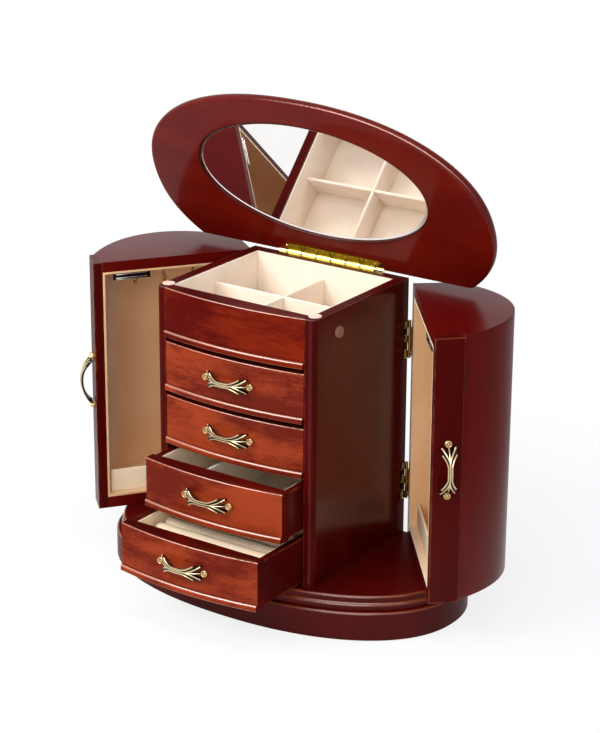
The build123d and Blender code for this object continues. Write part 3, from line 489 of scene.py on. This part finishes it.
# Beads carry a painted highlight on their rounded tops and painted shade on their tops and ends.
bead = dict(figure=1.25, highlight_paint=0.40, coat=(0.28, 2.3), edge_shine=0.0, wear=0.0, dark_ends=True)
wood_front = mahogany(
    "mahogany drawer fronts", along_x, front_stain, painted_shade_top_stain, shine=(0.03, 0.03, 0.02), **bead
)
wood_fascia = mahogany("mahogany fascia", along_x, fascia_stain, painted_shade_top_stain, shine=(0.01, 0.01, 0.02), **bead)
wood_post = mahogany(
    "mahogany case sides", along_z, frame_stain, figure=0.6, edge_shine=0.1, wear=0.1,
    shine=(0.02, 0.80, 0.03), burnish=0.35, back_fade=(0.040, 0.062),
)
wood_upright = mahogany(
    "mahogany stiles", along_z, frame_stain, figure=0.4, edge_shine=0.5, wear=0.18,
    shine=(0.03, 0.03, 0.38), low_shine=10.0, coat=(0.20, 1.3),
)
wood_shell = mahogany(
    "mahogany door shells", along_z, shell_stain, tabletop_stain, figure=0.35, edge_shine=0.0, wear=0.0,
    shine=(0.11, 0.11, 0.40), rounding=0.0, low_shine=5.0, coat=(0.20, 1.3),
)
# The base's beads carry a painted highlight.
wood_bench = mahogany(
    "mahogany base", along_x, frame_stain, bench_stain, figure=0.5, edge_shine=0.0, wear=0.0,
    shine=(0.12, 0.12, 0.0), highlight_paint=0.16, coat=(0.20, 1.7),
)
wood_level = mahogany("mahogany level boards", along_x, frame_stain, figure=0.5)
# The lid carries a painted highlight line on its rim and painted shade in the recess round the mirror.
wood_lid = mahogany(
    "mahogany lid", along_x, lid_stain, figure=0.55, edge_shine=0.0, wear=0.0,
    shine=(0.28, 0.28, 0.28), rounding=0.35, flat=lid_face, coat=(0.14, 1.48), highlight_line_paint=0.85,
    recess=(mirror_middle, mirror_half_width, mirror_half_height),
)
wood_deep = mahogany("mahogany drawer sides", along_y, frame_stain, figure=0.6, shine=(0.05, 0.3, 0.1))
cream_velvet = velvet("cream velvet", (0.90, 0.79, 0.68, 1), (0.86, 0.73, 0.60, 1))
warm_velvet = velvet("warm cream velvet", (0.97, 0.80, 0.59, 1), (0.92, 0.74, 0.52, 1), sheen=0.0)
# Door linings: the cream velvet painted tan as shade, with a painted sheen.
painted_shade_velvet = velvet("cream velvet painted tan as shade", (0.78, 0.48, 0.26, 1), (0.72, 0.42, 0.21, 1), sheen=0.5, sheen_paint=0.8)
pink_felt = velvet("pinkish felt", (0.85, 0.62, 0.52, 1), (0.76, 0.52, 0.43, 1))
brown_felt = velvet("brown felt", (0.20, 0.09, 0.06, 1), (0.12, 0.05, 0.035, 1), sheen=0.1)
brass_ribs = old_metal("rubbed antique brass", (0.62, 0.50, 0.31, 1), (0.16, 0.11, 0.05, 1), 0.85)
brass_web = old_metal("darkened antique brass", (0.035, 0.025, 0.013, 1), (0.007, 0.005, 0.003, 1), 0.35)
brass_boss = old_metal("rubbed brass bosses", (0.66, 0.48, 0.24, 1), (0.26, 0.17, 0.06, 1), 0.8)
hinge_brass = old_metal("dull hinge brass", (0.30, 0.18, 0.05, 1), (0.06, 0.032, 0.010, 1), 0.65)
hook_brass = old_metal("hook brass", (0.50, 0.31, 0.08, 1), (0.16, 0.09, 0.03, 1), 0.8)
plated_steel = old_metal("plated steel", (0.80, 0.74, 0.68, 1), (0.20, 0.16, 0.14, 1), 0.75)
strike_dark = old_metal("dark strike plate", (0.06, 0.045, 0.04, 1), (0.012, 0.009, 0.008, 1), 0.5)
magnet_brown = velvet("brown magnet face", (0.30, 0.14, 0.10, 1), (0.20, 0.085, 0.06, 1), sheen=0.1)
mirror_glass = silvered_glass("silvered mirror glass")
lid_knuckle_pitch = 15.75 * mm
lid_knuckle_radius = 2.05 * mm
lid_pin_low, lid_pin_high = (Vector(corner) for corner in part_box("lid_hinge_pin"))
gilt = hinge_gilt("bright gilt", (lid_pin_low + lid_pin_high) / 2, lid_knuckle_pitch, lid_knuckle_radius)

finishes = {
    "side_panel_left": wood_post,
    "side_panel_right": wood_post,
    "back_panel": wood_upright,
    "front_fascia": wood_fascia,
    "base_plinth": wood_bench,
    "base_top_board": wood_bench,
    "lid_panel": wood_lid,
    "mirror": mirror_glass,
    "door_magnets": magnet_brown,
    "lid_hinge_lower_leaf": gilt,
    "lid_hinge_upper_leaf": gilt,
    "lid_hinge_pin": gilt,
    "door_hinge_case_leaves": hinge_brass,
    "door_hinge_pins": hinge_brass,
    "drawer_runners": wood_deep,
}
endings = {
    "_shell": wood_shell,
    "_end_panels": wood_shell,
    "_stile": wood_upright,
    "_front": wood_front,
    "_case": wood_deep,
    "_hooks": hook_brass,
    "_strike": strike_dark,
    "_hinge_leaves": hinge_brass,
}


def finish_of(name):
    if name in finishes:
        return finishes[name]
    for ending, material in endings.items():
        if name.endswith(ending):
            return material
    return wood_level


wood_split = 28
glass_split = 6

for name, node in nodes.items():
    node.data.materials.clear()
    node.data.materials.append(finish_of(name))
    for face in node.data.polygons:
        face.use_smooth = True
    weld = node.modifiers.new("weld", "WELD")
    weld.merge_threshold = 0.000002
    split = node.modifiers.new("sharp edges", "EDGE_SPLIT")
    split.split_angle = math.radians(glass_split if name == "mirror" else wood_split)


# ---------------------------------------------------------------- piece helpers
def body_of(name):
    """The body that a node or piece belongs to, from the front of its name."""
    parts = name.split("_")
    if parts[0] == "drawer" and parts[1].isdigit() or parts[0] == "door" and parts[1] in ("left", "right"):
        return f"{parts[0]}_{parts[1]}"
    return "lid" if name in ("mirror", "lid_panel") else "cabinet"


def finish_piece(shape, name, body, materials, replaced=(), split_angle=40):
    """Turns a bmesh into a piece that rides on a body, with smooth faces between its sharp edges."""
    data = bpy.data.meshes.new(name)
    shape.to_mesh(data)
    shape.free()
    piece = bpy.data.objects.new(name, data)
    bpy.context.scene.collection.objects.link(piece)
    for material in materials:
        data.materials.append(material)
    for face in data.polygons:
        face.use_smooth = True
    if split_angle:
        split = piece.modifiers.new("sharp edges", "EDGE_SPLIT")
        split.split_angle = math.radians(split_angle)
    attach(piece, body)
    if replaced:
        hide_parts(*replaced)
    return piece


def merged_copy(name):
    """A merged copy of a node's mesh with its flat faces made whole again."""
    shape = bmesh.new()
    shape.from_mesh(nodes[name].data)
    bmesh.ops.remove_doubles(shape, verts=shape.verts, dist=0.005 * mm)
    bmesh.ops.dissolve_limit(shape, angle_limit=math.radians(0.5), verts=shape.verts, edges=shape.edges)
    return shape


def round_edges(shape, radius, segments=3, sharper_than=30):
    """Rounds every edge that turns more than an angle."""
    edges = [
        edge
        for edge in shape.edges
        if len(edge.link_faces) == 2 and edge.calc_face_angle(0) > math.radians(sharper_than)
    ]
    bmesh.ops.bevel(
        shape,
        geom=edges,
        offset=radius,
        offset_type="OFFSET",
        segments=segments,
        profile=0.5,
        affect="EDGES",
        clamp_overlap=True,
        material=-1,
    )


def add_board(shape, low, high, radius):
    """Adds a board with rounded edges between two corners of its box."""
    size = Vector(high) - Vector(low)
    middle = (Vector(high) + Vector(low)) / 2
    board = bmesh.new()
    bmesh.ops.create_cube(board, size=1.0, matrix=Matrix.Translation(middle) @ Matrix.Diagonal((*size, 1)))
    bmesh.ops.bevel(
        board, geom=board.edges[:], offset=radius, segments=3, profile=0.5, affect="EDGES", material=-1
    )
    join(shape, board)


def join(shape, other, matrix=None, material=0):
    """Moves another bmesh into a shape, placed by a matrix, and frees it."""
    if matrix is not None:
        bmesh.ops.transform(other, matrix=matrix, verts=other.verts)
    for face in other.faces:
        face.material_index = material
    data = bpy.data.meshes.new("joined")
    other.to_mesh(data)
    other.free()
    shape.from_mesh(data)
    bpy.data.meshes.remove(data)


# ---------------------------------------------------------------- cloth linings
velvet_round = 0.45 * mm
felt_round = 0.3 * mm
tray_wall = 1.3 * mm
drawer_wall = 1.2 * mm


def build_box_lining(name, wall):
    """A tray or drawer lining made of separate covered boards: a floor, two sides and two ends."""
    low, high = (Vector(corner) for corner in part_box(name))
    shape = bmesh.new()
    add_board(shape, low, (high.x, high.y, low.z + wall), velvet_round)
    floor_top = low.z + wall
    for start, end in ((low.x, low.x + wall), (high.x - wall, high.x)):
        add_board(shape, (start, low.y, floor_top), (end, high.y, high.z), velvet_round)
    for start, end in ((low.y, low.y + wall), (high.y - wall, high.y)):
        add_board(shape, (low.x + wall, start, floor_top), (high.x - wall, end, high.z), velvet_round)
    cloth = warm_velvet if name.startswith("drawer") else cream_velvet
    finish_piece(shape, f"{name}_velvet", body_of(name), [cloth], [name], split_angle=0)


def build_covered_copy(name, radius, slot, material):
    """A node's own shape with its hard edges rolled over, as cloth does round card."""
    shape = merged_copy(name)
    round_edges(shape, radius)
    cloth = "felt_face" if slot == "felt" else "velvet"
    finish_piece(shape, f"{name}_{cloth}", body_of(name), [material], [name])


def cover_of(name):
    """The cloth on a door lining, pocket or divider, and nothing for any other node."""
    # Door linings take the cream velvet painted tan as shade.
    if name.startswith("door_") and name.endswith("_lining"):
        return painted_shade_velvet
    if name.endswith("_pocket"):
        return warm_velvet
    if name.endswith(("_divider", "_divider_long", "_divider_cross")):
        return cream_velvet
    return None


build_box_lining("tray_lining", tray_wall)
for row in range(1, 5):
    build_box_lining(f"drawer_{row}_lining", drawer_wall)
for name in nodes:
    cloth = cover_of(name)
    if cloth:
        build_covered_copy(name, velvet_round, "velvet", cloth)
build_covered_copy("base_felt", felt_round, "felt", brown_felt)
build_covered_copy("lid_bumpers", felt_round, "felt", pink_felt)

# ---------------------------------------------------------------- ring rolls
roll_count = 7
roll_radius = 7.4 * mm
roll_pitch = 15.0 * mm
roll_sink = 1.2 * mm
roll_end_round = 2.2 * mm
roll_pleats = 11
roll_pleat_depth = 0.35 * mm
roll_board_round = 1.0 * mm
roll_cap_step = 0.4 * mm
roll_cap_dimple = 0.8 * mm
roll_sag = 0.22 * mm


def build_ring_rolls():
    """Seven soft rolls side by side on a covered board, gathered into pleats at their ends."""
    low, high = (Vector(corner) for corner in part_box("drawer_4_ring_pad"))
    centre_z = high.z - roll_radius
    board = bmesh.new()
    add_board(board, low, (high.x, high.y, centre_z - roll_sink), roll_board_round)
    pad = "drawer_4_ring_pad"
    finish_piece(board, f"{pad}_board", "drawer_4", [warm_velvet], [pad], split_angle=0)
    length = high.x - low.x
    middle_y = (low.y + high.y) / 2
    for step in range(roll_count):
        y = middle_y + roll_pitch * (step - (roll_count - 1) / 2)
        roll = bmesh.new()
        lying = Matrix.Rotation(math.radians(90), 4, "Y")
        turn = Matrix.Translation((low.x + length / 2, y, centre_z)) @ lying
        bmesh.ops.create_cone(
            roll, cap_ends=True, segments=44, radius1=roll_radius, radius2=roll_radius, depth=length
        )
        rims = [edge for edge in roll.edges if abs(edge.verts[0].co.z - edge.verts[1].co.z) < 1e-6]
        bmesh.ops.bevel(
            roll, geom=rims, offset=roll_end_round, segments=5, profile=0.5, affect="EDGES", material=-1
        )
        caps = [face for face in roll.faces if len(face.verts) > 4]
        bmesh.ops.inset_individual(roll, faces=caps, thickness=roll_end_round, depth=roll_cap_step)
        caps = [face for face in roll.faces if len(face.verts) > 4]
        bmesh.ops.poke(roll, faces=caps, offset=-roll_cap_dimple)
        long_edges = [edge for edge in roll.edges if edge.calc_length() > length / 2]
        bmesh.ops.subdivide_edges(roll, edges=long_edges, cuts=40, use_grid_fill=True)
        for vert in roll.verts:
            angle = math.atan2(vert.co.y, vert.co.x)
            near_end = max(0.0, 1 - (length / 2 - abs(vert.co.z)) / (4 * roll_end_round)) ** 2
            pleat = roll_pleat_depth * near_end * math.cos(roll_pleats * angle + step)
            sag = roll_sag * value_noise.noise(Vector((vert.co.z * 55, angle * 1.3, step * 3.7)))
            reach = math.hypot(vert.co.x, vert.co.y)
            if reach > 0.2 * mm:
                vert.co.xy *= 1 + (sag - abs(pleat)) / max(reach, roll_radius / 2)
        bmesh.ops.transform(roll, matrix=turn, verts=roll.verts)
        bmesh.ops.recalc_face_normals(roll, faces=roll.faces)
        roll_name = f"drawer_4_ring_roll_{step + 1}"
        piece = finish_piece(roll, roll_name, "drawer_4", [warm_velvet], split_angle=0)


build_ring_rolls()

# ---------------------------------------------------------------- screws
screw_top_share = 0.82


def add_screw(shape, place, radius, height=0.35 * mm, material=0):
    """Adds a slotted countersunk screw head standing a little proud of its plate."""
    screw = bmesh.new()
    bmesh.ops.create_circle(screw, cap_ends=True, segments=20, radius=radius * screw_top_share)
    slot_half = radius * 0.16
    for offset in (-slot_half, slot_half):
        whole = screw.verts[:] + screw.edges[:] + screw.faces[:]
        bmesh.ops.bisect_plane(screw, geom=whole, plane_co=(0, offset, 0), plane_no=(0, 1, 0))
    rim = [edge for edge in screw.edges if edge.is_boundary]
    skirt = bmesh.ops.extrude_edge_only(screw, edges=rim)
    lower = [part for part in skirt["geom"] if isinstance(part, bmesh.types.BMVert)]
    for vert in lower:
        vert.co.xy *= 1 / screw_top_share
        vert.co.z -= height
    flat = [face for face in screw.faces if face.normal.z**2 > 0.9]
    slot = [face for face in flat if abs(face.calc_center_median().y) < slot_half]
    sunk = bmesh.ops.extrude_face_region(screw, geom=slot)
    bmesh.ops.delete(screw, geom=slot, context="FACES_ONLY")
    deep = [part for part in sunk["geom"] if isinstance(part, bmesh.types.BMVert)]
    bmesh.ops.translate(screw, vec=(0, 0, -height * 0.9), verts=deep)
    bottom = [edge for edge in screw.edges if edge.is_boundary]
    bmesh.ops.contextual_create(screw, geom=bottom)
    bmesh.ops.recalc_face_normals(screw, faces=screw.faces)
    bmesh.ops.translate(screw, vec=(0, 0, height), verts=screw.verts)
    join(shape, screw, place, material)


# ---------------------------------------------------------------- cast pulls
pull_spacing = 46.4 * mm
pull_projection = 12.6 * mm
pull_foot = 24.2 * mm
pull_waist = 1.7 * mm
pull_fan_start = 4.6 * mm
pull_fan_reach = 15.4 * mm
pull_fan_width = 6.2 * mm
pull_split = 8.0 * mm
pull_tip_reach = 20.4 * mm
pull_tip_width = 6.0 * mm
pull_neck_end = 20.4 * mm
boss_recess = 2.3 * mm
boss_reach = 3.5 * mm
boss_screw_radius = 1.6 * mm
boss_screw_height = 0.3 * mm
arch_radius = (pull_foot**2 + pull_projection**2) / (2 * pull_projection)


def arch_height(x):
    """Height of the bow's outer face over the wood at a distance along the pull."""
    return math.sqrt(max(arch_radius**2 - x * x, 0)) - arch_radius + pull_projection


def add_rib(shape, place, route, widths):
    """Adds a rounded rib along a route of (x, y) points, tapered by its widths, lying on the bow."""
    curve = bpy.data.curves.new("rib", "CURVE")
    curve.dimensions = "3D"
    curve.bevel_depth = 1.0
    curve.bevel_resolution = 2
    curve.use_fill_caps = True
    spline = curve.splines.new("POLY")
    spline.points.add(len(route) - 1)
    for point, (x, y), width in zip(spline.points, route, widths):
        point.co = (x, y, arch_height(x) - width, 1)
        point.radius = width
    holder = bpy.data.objects.new("rib", curve)
    bpy.context.scene.collection.objects.link(holder)
    data = bpy.data.meshes.new_from_object(holder.evaluated_get(bpy.context.evaluated_depsgraph_get()))
    bpy.data.objects.remove(holder)
    bpy.data.curves.remove(curve)
    rib = bmesh.new()
    rib.from_mesh(data)
    bpy.data.meshes.remove(data)
    join(shape, rib, place, material=1)


def rib_route(start_x, end_x, start_y, end_y, power, count=12):
    """Points from one place to another whose sideways move builds up by a power."""
    route = []
    for step in range(count + 1):
        share = step / count
        route.append((start_x + (end_x - start_x) * share, start_y + (end_y - start_y) * share**power))
    return route


def taper(count, start, end):
    return [start + (end - start) * step / (count - 1) for step in range(count)]


def add_boss(shape, place, x):
    """Adds a round boss: a rounded rim around a slotted screw head."""
    profile = [
        (0.0, 2.3), (1.7, 2.3), (1.95, 2.6), (2.1, 3.3), (2.4, 3.58), (2.75, 3.55), (3.05, 3.2),
        (3.3, 2.6), (3.42, 2.0), (3.42, 0.4), (3.42, -0.4),
    ]
    boss = bmesh.new()
    verts = [boss.verts.new((radius * mm, 0, height * mm)) for radius, height in profile]
    edges = [boss.edges.new(pair) for pair in zip(verts[:-1], verts[1:])]
    bmesh.ops.spin(
        boss, geom=verts + edges, cent=(0, 0, 0), axis=(0, 0, 1), angle=math.tau, steps=28, use_merge=True
    )
    bmesh.ops.remove_doubles(boss, verts=boss.verts, dist=0.001 * mm)
    rim = [edge for edge in boss.edges if edge.is_boundary]
    bmesh.ops.contextual_create(boss, geom=rim)
    bmesh.ops.recalc_face_normals(boss, faces=boss.faces)
    join(shape, boss, place @ Matrix.Translation((x, 0, 0)), material=2)
    seat = place @ Matrix.Translation((x, 0, boss_recess)) @ Matrix.Rotation(x * 30 / mm, 4, "Z")
    add_screw(shape, seat, boss_screw_radius, boss_screw_height, material=2)


def build_pull(name, place):
    """A cast bow pull: a dark web of the bow's own shape, rubbed ribs along it and a boss at each end."""
    shape = bmesh.new()
    web = merged_copy(name)
    bmesh.ops.transform(web, matrix=place.inverted(), verts=web.verts)
    bmesh.ops.scale(web, vec=(1, 0.93, 0.95), verts=web.verts)
    for vert in web.verts:
        if math.hypot(abs(vert.co.x) - pull_spacing / 2, vert.co.y) < boss_reach:
            vert.co.z = min(vert.co.z, boss_recess - 0.3 * mm)
    join(shape, web, place, material=0)
    for end in (-1, 1):
        for edge in (-1, 1):
            outer = rib_route(0, end * pull_fan_start, edge * pull_waist, edge * pull_waist, 1, 4)[:-1]
            outer += rib_route(
                end * pull_fan_start, end * pull_fan_reach, edge * pull_waist, edge * pull_fan_width, 1.8
            )
            add_rib(shape, place, outer, taper(len(outer), 0.75 * mm, 0.65 * mm))
            inner = rib_route(end * pull_split, end * pull_tip_reach, 0, edge * pull_tip_width, 1.6)
            add_rib(shape, place, inner, taper(len(inner), 0.95 * mm, 0.75 * mm))
        neck = rib_route(end * pull_split, end * pull_neck_end, 0, 0, 1, 6)
        add_rib(shape, place, neck, taper(len(neck), 0.7 * mm, 0.45 * mm))
        add_boss(shape, place, end * pull_spacing / 2)
    middle = rib_route(-pull_split - 1 * mm, pull_split + 1 * mm, 0, 0, 1, 16)
    add_rib(shape, place, middle, [0.9 * mm] * len(middle))
    finish_piece(
        shape, f"{name}_casting", body_of(name), [brass_web, brass_ribs, brass_boss], [name]
    )


def seat_matrix(origin, along, out):
    """The place of a pull from its seat, its long direction and the direction out of the wood."""
    along, out = Vector(along), Vector(out).normalized()
    along = (along - out * along.dot(out)).normalized()
    turn = Matrix((along, out.cross(along), out)).transposed()
    return Matrix.Translation(origin) @ turn.to_4x4()


drawer_pull_lift = 24.8 * mm
drawer_pull_y = -89.28 * mm
drawer_pulled = (0.0, 0.0, 30.7 * mm, 65.9 * mm)
door_pull_z = 162.75 * mm
door_pull_seats = {
    "left": ((-184.610 * mm, -47.307 * mm), (-0.6830, -0.7304)),
    "right": ((189.695 * mm, -42.478 * mm), (0.7167, -0.6974)),
}

for row, pulled in enumerate(drawer_pulled, start=1):
    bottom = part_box(f"drawer_{row}_front")[0][2]
    seat = (0, drawer_pull_y - pulled, bottom + drawer_pull_lift)
    build_pull(f"drawer_{row}_pull", seat_matrix(seat, (1, 0, 0), (0, -1, 0)))
for side, (place, out) in door_pull_seats.items():
    build_pull(f"door_{side}_pull", seat_matrix((*place, door_pull_z), (0, 0, 1), (*out, 0)))


def finish_screws(shape, name, body, material):
    finish_piece(shape, name, body, [material], split_angle=35)


screw_from_pin = 5.9 * mm
lid_screw_radius = 1.5 * mm
lid_screw_places = (-47.25 * mm, -15.75 * mm, 15.75 * mm, 47.25 * mm)
lid_leaf_face = 0.42 * mm
door_angles = {"left": math.radians(36.5), "right": math.radians(39.2)}
door_screw_radius = 1.7 * mm
door_screw_spread = 12.0 * mm
door_leaf_face = 0.9 * mm
pivot_to_face = 1.7 * mm


def middle_of(name):
    low, high = (Vector(corner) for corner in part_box(name))
    return (low + high) / 2


def build_lid_screws():
    pin = middle_of("lid_hinge_pin")
    for name, body, plate, out in (
        ("lid_hinge_lid_screws", "lid", Vector(lid_up), Vector(lid_face)),
        ("lid_hinge_case_screws", "cabinet", Vector((0, -1, 0)), Vector((0, 0, 1))),
    ):
        shape = bmesh.new()
        for turn, x in enumerate(lid_screw_places):
            place = pin + Vector((x, 0, 0)) + plate * screw_from_pin - out * lid_leaf_face
            add_screw(shape, seat_matrix(place, (1, 0.6 * turn, 0.2), out), lid_screw_radius)
        finish_screws(shape, name, body, gilt_screw)


def build_strike_rails(side_name, plate_middle, along_door, out_of_door):
    """Three bright rounded rails standing on the dark strike plate."""
    turn = seat_matrix(plate_middle, along_door, out_of_door)
    shape = bmesh.new()
    for low, high in strike_rails:
        rail = bmesh.new()
        far_corner = (strike_rail_half, high, strike_rail_depth)
        add_board(rail, (-strike_rail_half, low, 0), far_corner, strike_rail_round)
        join(shape, rail, turn)
    door = f"door_{side_name}"
    finish_piece(shape, f"{door}_strike_rails", door, [plated_steel], split_angle=35)


def build_door_screws():
    case_shape = bmesh.new()
    hinge_low, hinge_high = (Vector(corner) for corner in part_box("door_hinge_pins"))
    pins_low = hinge_low.z + hinge_half
    pins_high = hinge_high.z - hinge_half
    for side, side_name in ((-1, "left"), (1, "right")):
        turn = door_angles[side_name]
        out_of_door = Vector((-side * math.cos(turn), -math.sin(turn), 0))
        along_door = Vector((side * math.sin(turn), -math.cos(turn), 0))
        pin = Vector((side * (hinge_high.x - pin_radius), (hinge_low.y + hinge_high.y) / 2, 0))
        out_of_case = Vector((side, 0, 0))
        door = f"door_{side_name}"
        door_shape = bmesh.new()
        for middle in (pins_low, pins_high):
            for lift in (-door_screw_spread, 0, door_screw_spread):
                height = Vector((0, 0, middle + lift))
                on_case = pin + height + Vector((0, -screw_from_pin, 0)) - out_of_case * door_leaf_face
                case_slot = (0, 1, lift * 400 + 0.5)
                add_screw(case_shape, seat_matrix(on_case, case_slot, out_of_case), door_screw_radius)
                on_door = pin + height + along_door * screw_from_pin - out_of_door * door_leaf_face
                door_slot = (0, 0.3, 1 + lift * 300)
                add_screw(door_shape, seat_matrix(on_door, door_slot, out_of_door), door_screw_radius)
        finish_screws(door_shape, f"{door}_hinge_screws", door, screw_brass)
        strike = middle_of(f"{door}_strike")
        face_gap = (strike - pin).dot(out_of_door)
        plate_middle = strike - out_of_door * (face_gap + pivot_to_face) - Vector((0, 0, strike_rail_drop))
        build_strike_rails(side_name, plate_middle, along_door, out_of_door)
    finish_screws(case_shape, "door_hinge_case_screws", "cabinet", screw_brass)


hinge_half = 17.5 * mm
pin_radius = 0.6 * mm
strike_rail_drop = 0.3 * mm
strike_rail_half = 14.4 * mm
strike_rail_depth = 0.3 * mm
strike_rail_round = 0.12 * mm
strike_rails = ((-2.7 * mm, -1.8 * mm), (0.7 * mm, 1.7 * mm), (2.35 * mm, 2.8 * mm))
gilt_screw = old_metal("gilt screw heads", (0.60, 0.42, 0.14, 1), (0.16, 0.10, 0.03, 1), 0.6)
screw_brass = old_metal("brass screw heads", (0.70, 0.50, 0.22, 1), (0.12, 0.08, 0.03, 1), 0.7)
build_lid_screws()
build_door_screws()

# ---------------------------------------------------------------- stage
floor_size = 6.0
near_floor = 0.20
far_floor = 0.55


def build_floor():
    """A pale floor that keeps the object's shadow and turns white further out."""
    mesh = bmesh.new()
    bmesh.ops.create_grid(mesh, x_segments=1, y_segments=1, size=floor_size / 2)
    data = bpy.data.meshes.new("floor")
    mesh.to_mesh(data)
    mesh.free()
    floor = bpy.data.objects.new("floor", data)
    bpy.context.scene.collection.objects.link(floor)
    material = bpy.data.materials.new("pale floor")
    material.use_nodes = True
    tree = material.node_tree
    tree.nodes.clear()
    coordinates = tree.nodes.new("ShaderNodeTexCoord").outputs["Object"]
    radius = put(tree, "ShaderNodeVectorMath", _operation="LENGTH", i0=coordinates).outputs["Value"]
    far = map_range(tree, radius, near_floor, far_floor)
    path = tree.nodes.new("ShaderNodeLightPath").outputs
    seen = larger(tree, path["Is Camera Ray"], path["Is Glossy Ray"])
    seen = larger(tree, seen, path["Is Transmission Ray"])
    diffuse = put(tree, "ShaderNodeBsdfDiffuse", Color=(0.94, 0.94, 0.94, 1)).outputs[0]
    white = put(tree, "ShaderNodeEmission", Color=(1, 1, 1, 1), Strength=1.0).outputs[0]
    whiteness = map_range(tree, far, 0.0, 1.0, 0.82, 1.0, smooth=False)
    mixed = put(
        tree, "ShaderNodeMixShader", i0=times(tree, whiteness, seen), i1=diffuse, i2=white
    ).outputs[0]
    tree.links.new(mixed, tree.nodes.new("ShaderNodeOutputMaterial").inputs[0])
    floor.data.materials.append(material)


def build_world():
    """Even studio light, with a white background where a camera, glossy or transmission ray meets it."""
    world = bpy.data.worlds.new("studio")
    bpy.context.scene.world = world
    world.use_nodes = True
    tree = world.node_tree
    tree.nodes.clear()
    path = tree.nodes.new("ShaderNodeLightPath").outputs
    seen = larger(tree, path["Is Camera Ray"], path["Is Glossy Ray"])
    seen = larger(tree, seen, path["Is Transmission Ray"])
    ambient = put(tree, "ShaderNodeBackground", Color=(1, 1, 1, 1), Strength=0.42).outputs[0]
    white = put(tree, "ShaderNodeBackground", Color=(1, 1, 1, 1), Strength=1.0).outputs[0]
    mixed = put(tree, "ShaderNodeMixShader", i0=seen, i1=ambient, i2=white).outputs[0]
    tree.links.new(mixed, tree.nodes.new("ShaderNodeOutputWorld").inputs[0])


def softbox(name, place, target, size, radiance):
    """A rectangular lamp whose face has the same brightness whatever its size."""
    data = bpy.data.lights.new(name, "AREA")
    data.shape = "RECTANGLE"
    data.size, data.size_y = size
    data.energy = radiance * math.pi * size[0] * size[1]
    lamp = bpy.data.objects.new(name, data)
    bpy.context.scene.collection.objects.link(lamp)
    lamp.location = place
    lamp.rotation_euler = (Vector(target) - Vector(place)).to_track_quat("-Z", "Y").to_euler()


build_floor()
build_world()
softbox("main softbox", (-0.80, -1.35, 1.47), (0, -0.09, 0.15), (1.15, 0.66), 11.5)
softbox("front softbox", (0.80, -1.95, 1.05), (0, 0, 0.15), (1.2, 1.2), 4.4)
softbox("top softbox", (0.10, -0.35, 1.90), (0, -0.05, 0.15), (0.9, 0.7), 3.8)


camera_place = (1.1092, -1.5833, 0.9010)
camera_angles = (34.737, 19.913, 0.336)
camera_lens = 114.6


def build_camera():
    """A long lens on the object, turned by its azimuth, elevation and roll."""
    azimuth, elevation, roll = (math.radians(angle) for angle in camera_angles)
    data = bpy.data.cameras.new("camera")
    camera = bpy.data.objects.new("camera", data)
    bpy.context.scene.collection.objects.link(camera)
    level = math.cos(elevation)
    back = Vector((math.sin(azimuth) * level, -math.cos(azimuth) * level, math.sin(elevation)))
    turn = (-back).to_track_quat("-Z", "Y").to_matrix() @ Matrix.Rotation(roll, 3, "Z")
    camera.matrix_world = Matrix.Translation(camera_place) @ turn.to_4x4()
    data.lens = camera_lens
    data.sensor_width = 36.0
    data.clip_start, data.clip_end = 0.05, 50.0
    bpy.context.scene.camera = camera


build_camera()
bpy.context.scene.view_settings.view_transform = "Standard"
